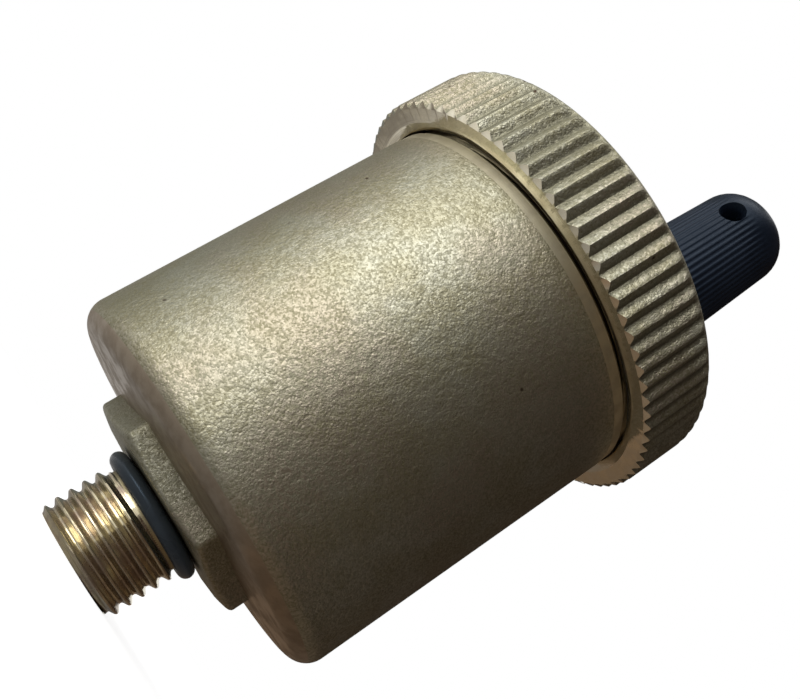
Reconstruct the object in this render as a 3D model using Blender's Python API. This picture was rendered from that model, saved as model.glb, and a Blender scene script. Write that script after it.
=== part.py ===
"""Float air release valve: a brass float chamber with a threaded inlet, a knurled screw-on cover,
a float that closes the vent nozzle through a lever, and a ribbed plastic vent cap.

Axis of the valve is +Z, the origin is the centre of the inlet's end face, and sizes are in metres.
Model state: dry valve, float down, nozzle open, cover and vent cap screwed down.
"""

import math

import bmesh
import bpy
from mathutils import Matrix, Vector

MM = 0.001
ORIGIN = (0.0, 0.0, 0.0)

# Clearances between neighbouring pieces
SEAT_GAP = 0.05 * MM
RUNNING_GAP = 0.3 * MM
FLOAT_SIDE_GAP = 1.5 * MM
OVERCUT = 1.0 * MM

# Facets round a full turn
ROUND_COARSE = 20
ROUND_MEDIUM = 40
ROUND_FINE = 64

# Inlet with its O-ring
INLET_THREAD_RADIUS = 6.579 * MM
INLET_THREAD_LENGTH = 7.75 * MM
INLET_END_CHAMFER = 0.5 * MM
INLET_BORE_RADIUS = 4.0 * MM
INLET_NECK_RADIUS = 5.5 * MM
ORING_SECTION_RADIUS = 1.05 * MM
ORING_SECTION_FACETS = 8

# Spanner hexagon
HEX_ACROSS_FLATS = 22.0 * MM
HEX_HEIGHT = 2.8 * MM
HEX_CORNER_ANGLE = math.radians(-10.0)

# Float chamber
BODY_RADIUS = 21.6 * MM
BODY_SKIRT_HEIGHT = 1.6 * MM
BODY_SKIRT_INSET = 2.2 * MM
BODY_WALL = 2.6 * MM
BODY_FLOOR = 3.2 * MM
BODY_LENGTH = 38.85 * MM
BODY_BAND_HEIGHT = 1.9 * MM
BODY_BAND_STEP = 0.3 * MM
COVER_GROOVE_HEIGHT = 1.0 * MM
COVER_GROOVE_DEPTH = 0.9 * MM
FLOOR_FILLET = 1.6 * MM

# Cover ring with its teeth
COVER_WALL = 3.7 * MM
COVER_HEIGHT = 10.0 * MM
COVER_PLATE = 3.4 * MM
COVER_EDGE_ROUND = 2.5 * MM
COVER_EDGE_STEPS = 3
COVER_TOOTH_COUNT = 80
COVER_TOOTH_DEPTH = 0.8 * MM
COVER_THREAD_STEP = 0.6 * MM
COVER_THREAD_RELIEF = 0.35 * MM
COVER_MOUTH_CHAMFER = 0.7 * MM
GASKET_THICKNESS = 1.4 * MM
GASKET_WIDTH = 1.5 * MM

# Off-centre vent spigot on the cover
VENT_FROM_WALL = 7.2 * MM
VENT_HEADING = math.radians(-44.0)
SPIGOT_RADIUS = 4.0 * MM
SPIGOT_HEIGHT = 8.4 * MM
SPIGOT_VENT_RADIUS = 1.5 * MM
SPIGOT_ROOT_FILLET = 0.8 * MM

# Vent nozzle pressed into the cover from below
NOZZLE_RADIUS = 2.2 * MM
NOZZLE_LENGTH = 3.0 * MM
NOZZLE_BORE_RADIUS = 0.8 * MM
NOZZLE_FLANGE_RADIUS = 3.4 * MM
NOZZLE_FLANGE_HEIGHT = 1.1 * MM
NOZZLE_SEAT_RADIUS = 1.3 * MM
NOZZLE_SEAT_HEIGHT = 0.6 * MM
NOZZLE_ORING_SECTION = 0.5 * MM
NOZZLE_ORING_FACETS = 8

# Lever and what carries it
LEVER_REST_TILT = math.radians(15.0)
FULCRUM_FROM_NOZZLE = 3.7 * MM
LEVER_ARM = 20.0 * MM
LEVER_THICKNESS = 2.0 * MM
LEVER_WIDTH = 4.4 * MM
LEVER_HUB_RADIUS = 1.6 * MM
LEVER_HUB_WIDTH = 8.0 * MM
LEVER_PIN_RADIUS = 0.75 * MM
LEVER_PIN_HEAD_RADIUS = 1.3 * MM
LEVER_PIN_HEAD = 0.7 * MM
CLIP_RADIUS = 1.5 * MM
CLIP_THICKNESS = 0.5 * MM
CLIP_MOUTH = 1.1 * MM
SLOT_WALL = 1.2 * MM
SLOT_SPARE = 0.3 * MM
BRACKET_SHEET = 1.0 * MM
BRACKET_EAR_WIDTH = 3.4 * MM
BRACKET_FRONT = 7.7 * MM
SCREW_RADIUS = 1.0 * MM
SCREW_LENGTH = 2.2 * MM
SCREW_HEAD_RADIUS = 1.8 * MM
SCREW_HEAD_HEIGHT = 1.1 * MM
SCREW_SLOT_WIDTH = 0.5 * MM
SCREW_SLOT_DEPTH = 0.45 * MM
SCREW_SPREAD = 3.4 * MM
SCREW_SETBACK = 5.4 * MM

# Seal of the lever
HOLDER_STEM_RADIUS = 1.1 * MM
HOLDER_FLANGE_RADIUS = 2.0 * MM
HOLDER_FLANGE_HEIGHT = 1.1 * MM
HOLDER_POCKET_DEPTH = 0.8 * MM
SEAL_PAD_RADIUS = 1.55 * MM
SEAL_PAD_THICKNESS = 0.95 * MM
HOLDER_RIVET_RADIUS = 1.6 * MM
HOLDER_RIVET_HEIGHT = 0.6 * MM

# Float
FLOAT_WALL = 1.2 * MM
FLOAT_LID_THICKNESS = 1.6 * MM
FLOAT_LID_SPIGOT = 1.8 * MM
FLOAT_CORNER = 1.8 * MM
YOKE_SPACING = 5.6 * MM
YOKE_SHEET = 1.0 * MM
YOKE_WIDTH = 4.0 * MM
YOKE_PIN_HEIGHT = 4.8 * MM
YOKE_PIN_RADIUS = 0.8 * MM
YOKE_PIN_TAIL = 0.5 * MM

# Vent cap
CAP_BASE_RADIUS = 6.2 * MM
CAP_TIP_RADIUS = 5.55 * MM
CAP_HEIGHT = 20.4 * MM
CAP_DOME_HEIGHT = 4.0 * MM
CAP_DOME_STEPS = 5
CAP_RIB_COUNT = 28
CAP_RIB_DEPTH = 0.28 * MM
CAP_COLLAR_HEIGHT = 1.2 * MM
CAP_CHAMBER_RADIUS = 3.0 * MM
CAP_ROOF = 3.0 * MM
CAP_VENT_RADIUS = 1.25 * MM
CAP_VENT_DROP = 5.4 * MM
CAP_VENT_ANGLE = math.radians(-124.0)
WASHER_THICKNESS = 1.2 * MM
WASHER_NOTCH_COUNT = 4
WASHER_NOTCH_WIDTH = 1.6 * MM
WASHER_NOTCH_INNER = 2.2 * MM

# Radii that follow from the body's
CHAMBER_RADIUS = BODY_RADIUS - BODY_WALL - BODY_BAND_STEP
FLOAT_RADIUS = CHAMBER_RADIUS - FLOAT_SIDE_GAP
VENT_OFFSET = CHAMBER_RADIUS - VENT_FROM_WALL
COVER_THREAD_RADIUS = BODY_RADIUS - COVER_THREAD_STEP
COVER_BORE_RADIUS = COVER_THREAD_RADIUS + RUNNING_GAP
COVER_RADIUS = COVER_BORE_RADIUS + COVER_WALL

# Heights that follow from the sizes above
HEX_BOTTOM_Z = INLET_THREAD_LENGTH + 2 * ORING_SECTION_RADIUS + 2 * SEAT_GAP
HEX_TOP_Z = HEX_BOTTOM_Z + HEX_HEIGHT
BODY_WALL_Z = HEX_TOP_Z + BODY_SKIRT_HEIGHT
CHAMBER_FLOOR_Z = HEX_TOP_Z + BODY_FLOOR
BODY_BAND_Z = BODY_WALL_Z + BODY_LENGTH - BODY_BAND_HEIGHT
COVER_GROOVE_Z = BODY_WALL_Z + BODY_LENGTH
COVER_BOTTOM_Z = COVER_GROOVE_Z + RUNNING_GAP
COVER_TOP_Z = COVER_BOTTOM_Z + COVER_HEIGHT
COVER_CEILING_Z = COVER_TOP_Z - COVER_PLATE
BODY_RIM_Z = COVER_CEILING_Z - GASKET_THICKNESS - 2 * SEAT_GAP
SPIGOT_TOP_Z = COVER_TOP_Z + SPIGOT_HEIGHT

NOZZLE_ORING_THICKNESS = 2 * NOZZLE_ORING_SECTION
NOZZLE_FLANGE_TOP_Z = COVER_CEILING_Z - NOZZLE_ORING_THICKNESS - 2 * SEAT_GAP
NOZZLE_SEAT_Z = NOZZLE_FLANGE_TOP_Z - NOZZLE_FLANGE_HEIGHT - NOZZLE_SEAT_HEIGHT

# Pin of the lever: it sits where the closed pad just meets the nozzle's seat
HOLDER_FLANGE_BOTTOM = LEVER_THICKNESS / 2 + SEAT_GAP
PAD_BOTTOM = HOLDER_FLANGE_BOTTOM + HOLDER_FLANGE_HEIGHT - HOLDER_POCKET_DEPTH + SEAT_GAP
PAD_TOP = PAD_BOTTOM + SEAL_PAD_THICKNESS
FULCRUM_X = VENT_OFFSET + FULCRUM_FROM_NOZZLE
FULCRUM_Z = NOZZLE_SEAT_Z - PAD_TOP - SEAT_GAP
FLOAT_TRAVEL = LEVER_ARM * math.sin(LEVER_REST_TILT)
YOKE_X = FULCRUM_X - LEVER_ARM * (1 + math.cos(LEVER_REST_TILT)) / 2
YOKE_PIN_Z = FULCRUM_Z - FLOAT_TRAVEL
FLOAT_BOTTOM_Z = CHAMBER_FLOOR_Z + RUNNING_GAP
FLOAT_TOP_Z = YOKE_PIN_Z - YOKE_PIN_HEIGHT
FLOAT_LID_Z = FLOAT_TOP_Z - FLOAT_LID_THICKNESS - SEAT_GAP

CAP_BASE_Z = COVER_TOP_Z + RUNNING_GAP
CAP_TOP_Z = CAP_BASE_Z + CAP_HEIGHT
WASHER_Z = SPIGOT_TOP_Z + SEAT_GAP
CAP_SOCKET_Z = WASHER_Z + WASHER_THICKNESS + SEAT_GAP
CAP_SOCKET_RADIUS = SPIGOT_RADIUS + RUNNING_GAP


def clear_scene():
    for obj in list(bpy.data.objects):
        bpy.data.objects.remove(obj, do_unlink=True)


def make_material(name, colour, roughness, metallic):
    material = bpy.data.materials.new(name)
    material.use_nodes = True
    shader = material.node_tree.nodes["Principled BSDF"]
    shader.inputs["Base Color"].default_value = (*colour, 1.0)
    shader.inputs["Roughness"].default_value = roughness
    shader.inputs["Metallic"].default_value = metallic
    material.diffuse_color = (*colour, 1.0)
    return material


def cast_brass():
    return make_material("cast_brass", (0.36, 0.33, 0.22), 0.55, 1.0)


def turned_brass():
    return make_material("turned_brass", (0.55, 0.45, 0.22), 0.3, 1.0)


def black_rubber():
    return make_material("black_rubber", (0.012, 0.013, 0.018), 0.4, 0.0)


def black_plastic():
    return make_material("black_plastic", (0.012, 0.012, 0.014), 0.35, 0.0)


def float_plastic():
    return make_material("float_plastic", (0.75, 0.74, 0.68), 0.45, 0.0)


def lever_plastic():
    return make_material("lever_plastic", (0.62, 0.6, 0.52), 0.4, 0.0)


def stainless_steel():
    return make_material("stainless_steel", (0.58, 0.58, 0.56), 0.28, 1.0)


def polar(radius, angle):
    return Vector((radius * math.cos(angle), radius * math.sin(angle), 0.0))


def add_object(name, mesh_builder, material, place=ORIGIN, parent=None):
    """A named object at its place under its parent, from a bmesh in its own coordinates."""
    bmesh.ops.recalc_face_normals(mesh_builder, faces=mesh_builder.faces)
    mesh = bpy.data.meshes.new(name)
    mesh_builder.to_mesh(mesh)
    mesh_builder.free()
    if material:
        mesh.materials.append(material)
    mesh.shade_smooth()
    mesh.set_sharp_from_angle(angle=math.radians(30.0))
    obj = bpy.data.objects.new(name, mesh)
    obj.location = place
    obj.parent = parent
    bpy.context.scene.collection.objects.link(obj)
    return obj


def revolved(outline, facets, about_axis=True):
    """Body turned about Z from an (r, z) outline: a closed ring, or open between two axis points."""
    builder = bmesh.new()
    points = [builder.verts.new((r, 0.0, z)) for r, z in outline]
    edges = [builder.edges.new(pair) for pair in zip(points, points[1:])]
    if not about_axis:
        edges.append(builder.edges.new((points[-1], points[0])))
    bmesh.ops.spin(
        builder,
        geom=points + edges,
        cent=(0.0, 0.0, 0.0),
        axis=(0.0, 0.0, 1.0),
        angle=2 * math.pi,
        steps=facets,
        use_merge=True,
    )
    bmesh.ops.remove_doubles(builder, verts=builder.verts, dist=0.0001 * MM)
    return builder


def ring_revolved(outline, facets):
    return revolved(outline, facets, about_axis=False)


def torus(radius, section, facets, section_facets):
    """O-ring about Z, centred on its own origin."""
    angles = [2 * math.pi * k / section_facets for k in range(section_facets)]
    outline = [(radius + section * math.cos(a), section * math.sin(a)) for a in angles]
    return ring_revolved(outline, facets)


def cylinder(radius, low, high, facets):
    return revolved([(0.0, low), (radius, low), (radius, high), (0.0, high)], facets)


def prism(outline, low, high):
    """Extruded (x, y) outline between two heights."""
    builder = bmesh.new()
    points = [builder.verts.new((x, y, low)) for x, y in outline]
    face = builder.faces.new(points)
    raised = bmesh.ops.extrude_face_region(builder, geom=[face])["geom"]
    moved = [item for item in raised if isinstance(item, bmesh.types.BMVert)]
    bmesh.ops.translate(builder, verts=moved, vec=(0.0, 0.0, high - low))
    return builder


def box(low, high):
    corners = [(low[0], low[1]), (high[0], low[1]), (high[0], high[1]), (low[0], high[1])]
    return prism(corners, low[2], high[2])


def turned_over(builder, matrix):
    bmesh.ops.transform(builder, matrix=matrix, verts=builder.verts)
    return builder


def along_y(builder):
    """Turns a body made about Z so that its axis runs along Y."""
    return turned_over(builder, Matrix.Rotation(math.radians(-90.0), 4, "X"))


def tool(name, builder, place=ORIGIN, parent=None):
    """Helper solid of a Boolean: drawn as wire and left out of the model."""
    obj = add_object(name, builder, None, place, parent)
    obj.hide_render = True
    obj.display_type = "WIRE"
    return obj


def combine(obj, helper, operation):
    modifier = obj.modifiers.new(helper.name, "BOOLEAN")
    modifier.operation = operation
    modifier.solver = "EXACT"
    modifier.object = helper


def arc(centre, radius, start, end, steps):
    """Points on an arc in the (r, z) plane, angles in degrees."""
    for k in range(steps + 1):
        angle = math.radians(start + (end - start) * k / steps)
        yield (centre[0] + radius * math.cos(angle), centre[1] + radius * math.sin(angle))


def build_body(material):
    """Float chamber, cast in one piece with the inlet stub."""
    neck_top = HEX_BOTTOM_Z + HEX_HEIGHT / 2
    rim_radius = COVER_THREAD_RADIUS
    band_radius = BODY_RADIUS - BODY_BAND_STEP
    outside = [
        (INLET_THREAD_RADIUS - INLET_END_CHAMFER, 0.0),
        (INLET_THREAD_RADIUS, INLET_END_CHAMFER),
        (INLET_THREAD_RADIUS, INLET_THREAD_LENGTH - INLET_END_CHAMFER),
        (INLET_NECK_RADIUS, INLET_THREAD_LENGTH),
        (INLET_NECK_RADIUS, neck_top),
        (HEX_ACROSS_FLATS / 2 - OVERCUT, neck_top),
        (HEX_ACROSS_FLATS / 2 - OVERCUT, HEX_TOP_Z),
        (BODY_RADIUS - BODY_SKIRT_INSET, HEX_TOP_Z),
        (BODY_RADIUS - BODY_SKIRT_INSET * 0.4, HEX_TOP_Z + BODY_SKIRT_HEIGHT * 0.45),
        (BODY_RADIUS, BODY_WALL_Z),
        (BODY_RADIUS, BODY_BAND_Z),
        (band_radius, BODY_BAND_Z),
        (band_radius, COVER_GROOVE_Z),
        (rim_radius - COVER_GROOVE_DEPTH, COVER_GROOVE_Z),
        (rim_radius - COVER_GROOVE_DEPTH, COVER_GROOVE_Z + COVER_GROOVE_HEIGHT),
        (rim_radius, COVER_GROOVE_Z + COVER_GROOVE_HEIGHT),
        (rim_radius, BODY_RIM_Z - INLET_END_CHAMFER),
        (rim_radius - INLET_END_CHAMFER, BODY_RIM_Z),
    ]
    fillet_centre = (CHAMBER_RADIUS - FLOOR_FILLET, CHAMBER_FLOOR_Z + FLOOR_FILLET)
    inside = [(CHAMBER_RADIUS, BODY_RIM_Z), *arc(fillet_centre, FLOOR_FILLET, 0, -90, 3)]
    inside += [(INLET_BORE_RADIUS, CHAMBER_FLOOR_Z), (INLET_BORE_RADIUS, 0.0)]
    body = add_object("body_shell", ring_revolved(outside + inside, ROUND_FINE), material)
    combine(body, tool("body_hexagon", hexagon_builder()), "UNION")
    return body


def hexagon_builder():
    """Spanner hexagon, with the inlet bore left open through it."""
    corner_radius = HEX_ACROSS_FLATS / 2 / math.cos(math.pi / 6)
    corners = [polar(corner_radius, HEX_CORNER_ANGLE + k * math.pi / 3) for k in range(6)]
    outer = [(corner.x, corner.y) for corner in corners]
    inner_radius = (INLET_BORE_RADIUS + INLET_NECK_RADIUS) / 2
    inner = [polar(inner_radius, HEX_CORNER_ANGLE + k * math.pi / 6) for k in range(12)]
    opening = [(point.x, point.y) for point in inner]
    return framed_prism(outer, opening, HEX_BOTTOM_Z, HEX_TOP_Z + OVERCUT / 2)


def framed_prism(outer, inner, low, high):
    """Extruded outline with a hole through it."""
    builder = bmesh.new()
    edges = []
    for loop in (outer, inner):
        points = [builder.verts.new((x, y, low)) for x, y in loop]
        edges += [builder.edges.new((points[k - 1], points[k])) for k in range(len(points))]
    filled = bmesh.ops.triangle_fill(builder, use_beauty=True, edges=edges)["geom"]
    faces = [item for item in filled if isinstance(item, bmesh.types.BMFace)]
    raised = bmesh.ops.extrude_face_region(builder, geom=faces)["geom"]
    moved = [item for item in raised if isinstance(item, bmesh.types.BMVert)]
    bmesh.ops.translate(builder, verts=moved, vec=(0.0, 0.0, high - low))
    return builder


def build_inlet_oring(material):
    ring_radius = INLET_NECK_RADIUS + SEAT_GAP + ORING_SECTION_RADIUS
    middle = INLET_THREAD_LENGTH + SEAT_GAP + ORING_SECTION_RADIUS
    ring = torus(ring_radius, ORING_SECTION_RADIUS, ROUND_MEDIUM, ORING_SECTION_FACETS)
    return add_object("inlet_oring", ring, material, (0.0, 0.0, middle))


def cover_levels():
    """(z, crest radius, root radius) of the toothed rim from below to above."""
    root = COVER_RADIUS - COVER_TOOTH_DEPTH
    levels = [
        (COVER_BOTTOM_Z, COVER_RADIUS - COVER_TOOTH_DEPTH * 0.35, root),
        (COVER_BOTTOM_Z + COVER_TOOTH_DEPTH * 0.5, COVER_RADIUS, root),
    ]
    centre = (COVER_RADIUS - COVER_EDGE_ROUND, COVER_TOP_Z - COVER_EDGE_ROUND)
    for radius, z in arc(centre, COVER_EDGE_ROUND, 0, 90, COVER_EDGE_STEPS):
        levels.append((z, radius, min(root, radius)))
    return levels


def toothed_rim_builder():
    """Solid disc with the cover's teeth: a crest, two flanks and a root for each tooth."""
    builder = bmesh.new()
    pitch = 2 * math.pi / COVER_TOOTH_COUNT
    shape = [(-0.5, 0.0), (-0.26, 0.8), (0.0, 1.0), (0.26, 0.8)]
    rings = []
    for z, crest, root in cover_levels():
        ring = []
        for tooth in range(COVER_TOOTH_COUNT):
            for share, rise in shape:
                radius = root + (crest - root) * rise
                point = polar(radius, pitch * (tooth + share))
                ring.append(builder.verts.new((point.x, point.y, z)))
        rings.append(ring)
    for below, above in zip(rings, rings[1:]):
        for k in range(len(below)):
            builder.faces.new((below[k - 1], below[k], above[k], above[k - 1]))
    builder.faces.new(rings[0][::-1])
    builder.faces.new(rings[-1])
    return builder


def build_cover(material, heading):
    """Knurled cover ring with its plate and the off-centre spigot."""
    cover = add_object("cover_ring", toothed_rim_builder(), material)
    relief_radius = COVER_THREAD_RADIUS - COVER_THREAD_RELIEF + RUNNING_GAP
    bore = [
        (0.0, COVER_BOTTOM_Z - OVERCUT),
        (COVER_BORE_RADIUS + COVER_MOUTH_CHAMFER + OVERCUT, COVER_BOTTOM_Z - OVERCUT),
        (COVER_BORE_RADIUS, COVER_BOTTOM_Z + COVER_MOUTH_CHAMFER),
        (COVER_BORE_RADIUS, BODY_RIM_Z),
        (relief_radius, COVER_CEILING_Z),
        (0.0, COVER_CEILING_Z),
    ]
    combine(cover, tool("cover_bore", revolved(bore, ROUND_FINE)), "DIFFERENCE")
    fillet_centre = (SPIGOT_RADIUS + SPIGOT_ROOT_FILLET, COVER_TOP_Z + SPIGOT_ROOT_FILLET)
    fillet = list(arc(fillet_centre, SPIGOT_ROOT_FILLET, 270, 180, 2))
    spigot = [(0.0, COVER_TOP_Z - OVERCUT), (fillet[0][0], COVER_TOP_Z - OVERCUT)]
    spigot += fillet
    spigot += [
        (SPIGOT_RADIUS, SPIGOT_TOP_Z - INLET_END_CHAMFER),
        (SPIGOT_RADIUS - INLET_END_CHAMFER, SPIGOT_TOP_Z),
        (0.0, SPIGOT_TOP_Z),
    ]
    vent = (VENT_OFFSET, 0.0, 0.0)
    combine(cover, tool("cover_spigot", revolved(spigot, ROUND_COARSE), vent, heading), "UNION")
    nozzle_top = COVER_CEILING_Z + NOZZLE_LENGTH + SEAT_GAP
    passage = [
        (0.0, COVER_CEILING_Z - OVERCUT),
        (NOZZLE_RADIUS + SEAT_GAP, COVER_CEILING_Z - OVERCUT),
        (NOZZLE_RADIUS + SEAT_GAP, nozzle_top),
        (SPIGOT_VENT_RADIUS, nozzle_top + SEAT_GAP),
        (SPIGOT_VENT_RADIUS, SPIGOT_TOP_Z + OVERCUT),
        (0.0, SPIGOT_TOP_Z + OVERCUT),
    ]
    combine(cover, tool("cover_passage", revolved(passage, ROUND_COARSE), vent, heading), "DIFFERENCE")
    for number, place in enumerate(screw_places()):
        pilot = cylinder(SCREW_RADIUS + SEAT_GAP, -OVERCUT, SCREW_LENGTH + SEAT_GAP, ROUND_COARSE)
        helper = tool(f"screw_pilot_{number}", pilot, (*place, COVER_CEILING_Z), heading)
        combine(cover, helper, "DIFFERENCE")
    return cover


def screw_places():
    """Where the bracket's two screws stand, on the float's side of the nozzle."""
    x = VENT_OFFSET - SCREW_SETBACK
    return [(x, -SCREW_SPREAD), (x, SCREW_SPREAD)]


def build_gasket(material):
    inner = CHAMBER_RADIUS + SEAT_GAP
    outer = min(inner + GASKET_WIDTH, COVER_THREAD_RADIUS - COVER_THREAD_RELIEF)
    low = BODY_RIM_Z + SEAT_GAP
    high = low + GASKET_THICKNESS
    outline = [(inner, low), (outer, low), (outer, high), (inner, high)]
    return add_object("cover_gasket", ring_revolved(outline, ROUND_FINE), material)


def build_nozzle(material, heading):
    """Vent nozzle: stem in the cover, flange, and a narrow seat facing the lever."""
    flange_bottom = NOZZLE_FLANGE_TOP_Z - NOZZLE_FLANGE_HEIGHT
    outline = [
        (NOZZLE_BORE_RADIUS, NOZZLE_SEAT_Z),
        (NOZZLE_SEAT_RADIUS, NOZZLE_SEAT_Z),
        (NOZZLE_SEAT_RADIUS + NOZZLE_SEAT_HEIGHT / 2, flange_bottom),
        (NOZZLE_FLANGE_RADIUS, flange_bottom),
        (NOZZLE_FLANGE_RADIUS, NOZZLE_FLANGE_TOP_Z),
        (NOZZLE_RADIUS, NOZZLE_FLANGE_TOP_Z),
        (NOZZLE_RADIUS, COVER_CEILING_Z + NOZZLE_LENGTH),
        (NOZZLE_BORE_RADIUS, COVER_CEILING_Z + NOZZLE_LENGTH),
    ]
    at = (VENT_OFFSET, 0.0, 0.0)
    return add_object("vent_nozzle", ring_revolved(outline, ROUND_COARSE), material, at, heading)


def build_nozzle_oring(material, heading):
    radius = NOZZLE_RADIUS + SEAT_GAP + NOZZLE_ORING_SECTION
    middle = NOZZLE_FLANGE_TOP_Z + SEAT_GAP + NOZZLE_ORING_SECTION
    ring = torus(radius, NOZZLE_ORING_SECTION, ROUND_COARSE, NOZZLE_ORING_FACETS)
    return add_object("nozzle_oring", ring, material, (VENT_OFFSET, 0.0, middle), heading)


def bracket_ear_inside():
    return LEVER_HUB_WIDTH / 2 + RUNNING_GAP


def build_bracket(material, heading):
    """Sheet bracket under the cover: a plate round the nozzle and two ears for the lever's pin."""
    plate_top = COVER_CEILING_Z - SEAT_GAP
    plate_bottom = plate_top - BRACKET_SHEET
    half_width = bracket_ear_inside() + BRACKET_SHEET
    front = VENT_OFFSET - BRACKET_FRONT
    rear = FULCRUM_X + BRACKET_EAR_WIDTH / 2
    plate = box((front, -half_width, plate_bottom), (rear, half_width, plate_top))
    bracket = add_object("lever_bracket", plate, material, parent=heading)
    ear_low = FULCRUM_Z - LEVER_HUB_RADIUS
    for number, side in enumerate((-1, 1)):
        inner = side * bracket_ear_inside()
        outer = side * half_width
        low = (FULCRUM_X - BRACKET_EAR_WIDTH / 2, min(inner, outer), ear_low)
        high = (rear, max(inner, outer), plate_bottom + BRACKET_SHEET / 2)
        combine(bracket, tool(f"bracket_ear_{number}", box(low, high), parent=heading), "UNION")
    below, above = plate_bottom - OVERCUT, plate_top + OVERCUT
    opening = cylinder(NOZZLE_FLANGE_RADIUS + RUNNING_GAP, below, above, ROUND_COARSE)
    helper = tool("bracket_opening", opening, (VENT_OFFSET, 0.0, 0.0), heading)
    combine(bracket, helper, "DIFFERENCE")
    for number, place in enumerate(screw_places()):
        hole = cylinder(SCREW_RADIUS + SEAT_GAP, below, above, ROUND_COARSE)
        helper = tool(f"bracket_hole_{number}", hole, (*place, 0.0), heading)
        combine(bracket, helper, "DIFFERENCE")
    span = half_width + OVERCUT
    pin_hole = along_y(cylinder(LEVER_PIN_RADIUS + SEAT_GAP, -span, span, ROUND_COARSE))
    helper = tool("bracket_pin_hole", pin_hole, (FULCRUM_X, 0.0, FULCRUM_Z), heading)
    combine(bracket, helper, "DIFFERENCE")
    return bracket


def build_screws(material, heading):
    """Two cheese-head screws that hold the bracket, slotted from below."""
    head_top = -SEAT_GAP
    head_bottom = head_top - SCREW_HEAD_HEIGHT
    shank_top = BRACKET_SHEET + SEAT_GAP + SCREW_LENGTH
    outline = [
        (0.0, head_bottom),
        (SCREW_HEAD_RADIUS, head_bottom),
        (SCREW_HEAD_RADIUS, head_top),
        (SCREW_RADIUS, head_top),
        (SCREW_RADIUS, shank_top),
        (0.0, shank_top),
    ]
    plate_bottom = COVER_CEILING_Z - SEAT_GAP - BRACKET_SHEET
    for name, place in zip(("bracket_screw_left", "bracket_screw_right"), screw_places()):
        at = (*place, plate_bottom)
        screw = add_object(name, revolved(outline, ROUND_COARSE), material, at, heading)
        half = SCREW_HEAD_RADIUS + OVERCUT
        low = (-half, -SCREW_SLOT_WIDTH / 2, head_bottom - OVERCUT)
        high = (half, SCREW_SLOT_WIDTH / 2, head_bottom + SCREW_SLOT_DEPTH)
        combine(screw, tool(f"{name}_slot", box(low, high), at, heading), "DIFFERENCE")


def pin_head_inside():
    return bracket_ear_inside() + BRACKET_SHEET + SEAT_GAP


def build_lever_pin(material, heading):
    """Headed pin through the bracket's ears and the lever's hub."""
    head = pin_head_inside()
    tail = head + SEAT_GAP + CLIP_THICKNESS + RUNNING_GAP
    outline = [
        (0.0, -head - LEVER_PIN_HEAD),
        (LEVER_PIN_HEAD_RADIUS, -head - LEVER_PIN_HEAD),
        (LEVER_PIN_HEAD_RADIUS, -head),
        (LEVER_PIN_RADIUS, -head),
        (LEVER_PIN_RADIUS, tail),
        (0.0, tail),
    ]
    pin = along_y(revolved(outline, ROUND_COARSE))
    return add_object("lever_pin", pin, material, (FULCRUM_X, 0.0, FULCRUM_Z), heading)


def build_pin_clip(material, heading):
    """Open retaining clip on the pin's plain end."""
    inner = LEVER_PIN_RADIUS + SEAT_GAP
    low = pin_head_inside() + SEAT_GAP
    high = low + CLIP_THICKNESS
    outline = [(inner, low), (CLIP_RADIUS, low), (CLIP_RADIUS, high), (inner, high)]
    at = (FULCRUM_X, 0.0, FULCRUM_Z)
    ring = along_y(ring_revolved(outline, ROUND_COARSE))
    clip = add_object("pin_clip", ring, material, at, heading)
    mouth_low = (0.0, low - OVERCUT, -CLIP_MOUTH / 2)
    mouth_high = (CLIP_RADIUS + OVERCUT, high + OVERCUT, CLIP_MOUTH / 2)
    combine(clip, tool("pin_clip_mouth", box(mouth_low, mouth_high), at, heading), "DIFFERENCE")
    return clip


def slot_ends():
    """Ends of the lever's slot along the lever, from where the yoke's pin runs in it."""
    pin_at_rest = Vector((YOKE_X - FULCRUM_X, 0.0, -FLOAT_TRAVEL))
    turned = Matrix.Rotation(LEVER_REST_TILT, 4, "Y") @ pin_at_rest
    closed = YOKE_X - FULCRUM_X
    reach = YOKE_PIN_RADIUS + SLOT_SPARE
    return min(turned.x, closed) - reach, max(turned.x, closed) + reach


def upright(outline, half_width):
    """Extruded (x, z) outline, centred on Y."""
    builder = prism([(x, -z) for x, z in outline], -half_width, half_width)
    return turned_over(builder, Matrix.Rotation(math.radians(-90.0), 4, "X"))


def rounded_slot(start, end, radius):
    points = [(end + x, z) for x, z in arc((0.0, 0.0), radius, -90, 90, 6)]
    return points + [(start + x, z) for x, z in arc((0.0, 0.0), radius, 90, 270, 6)]


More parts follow.
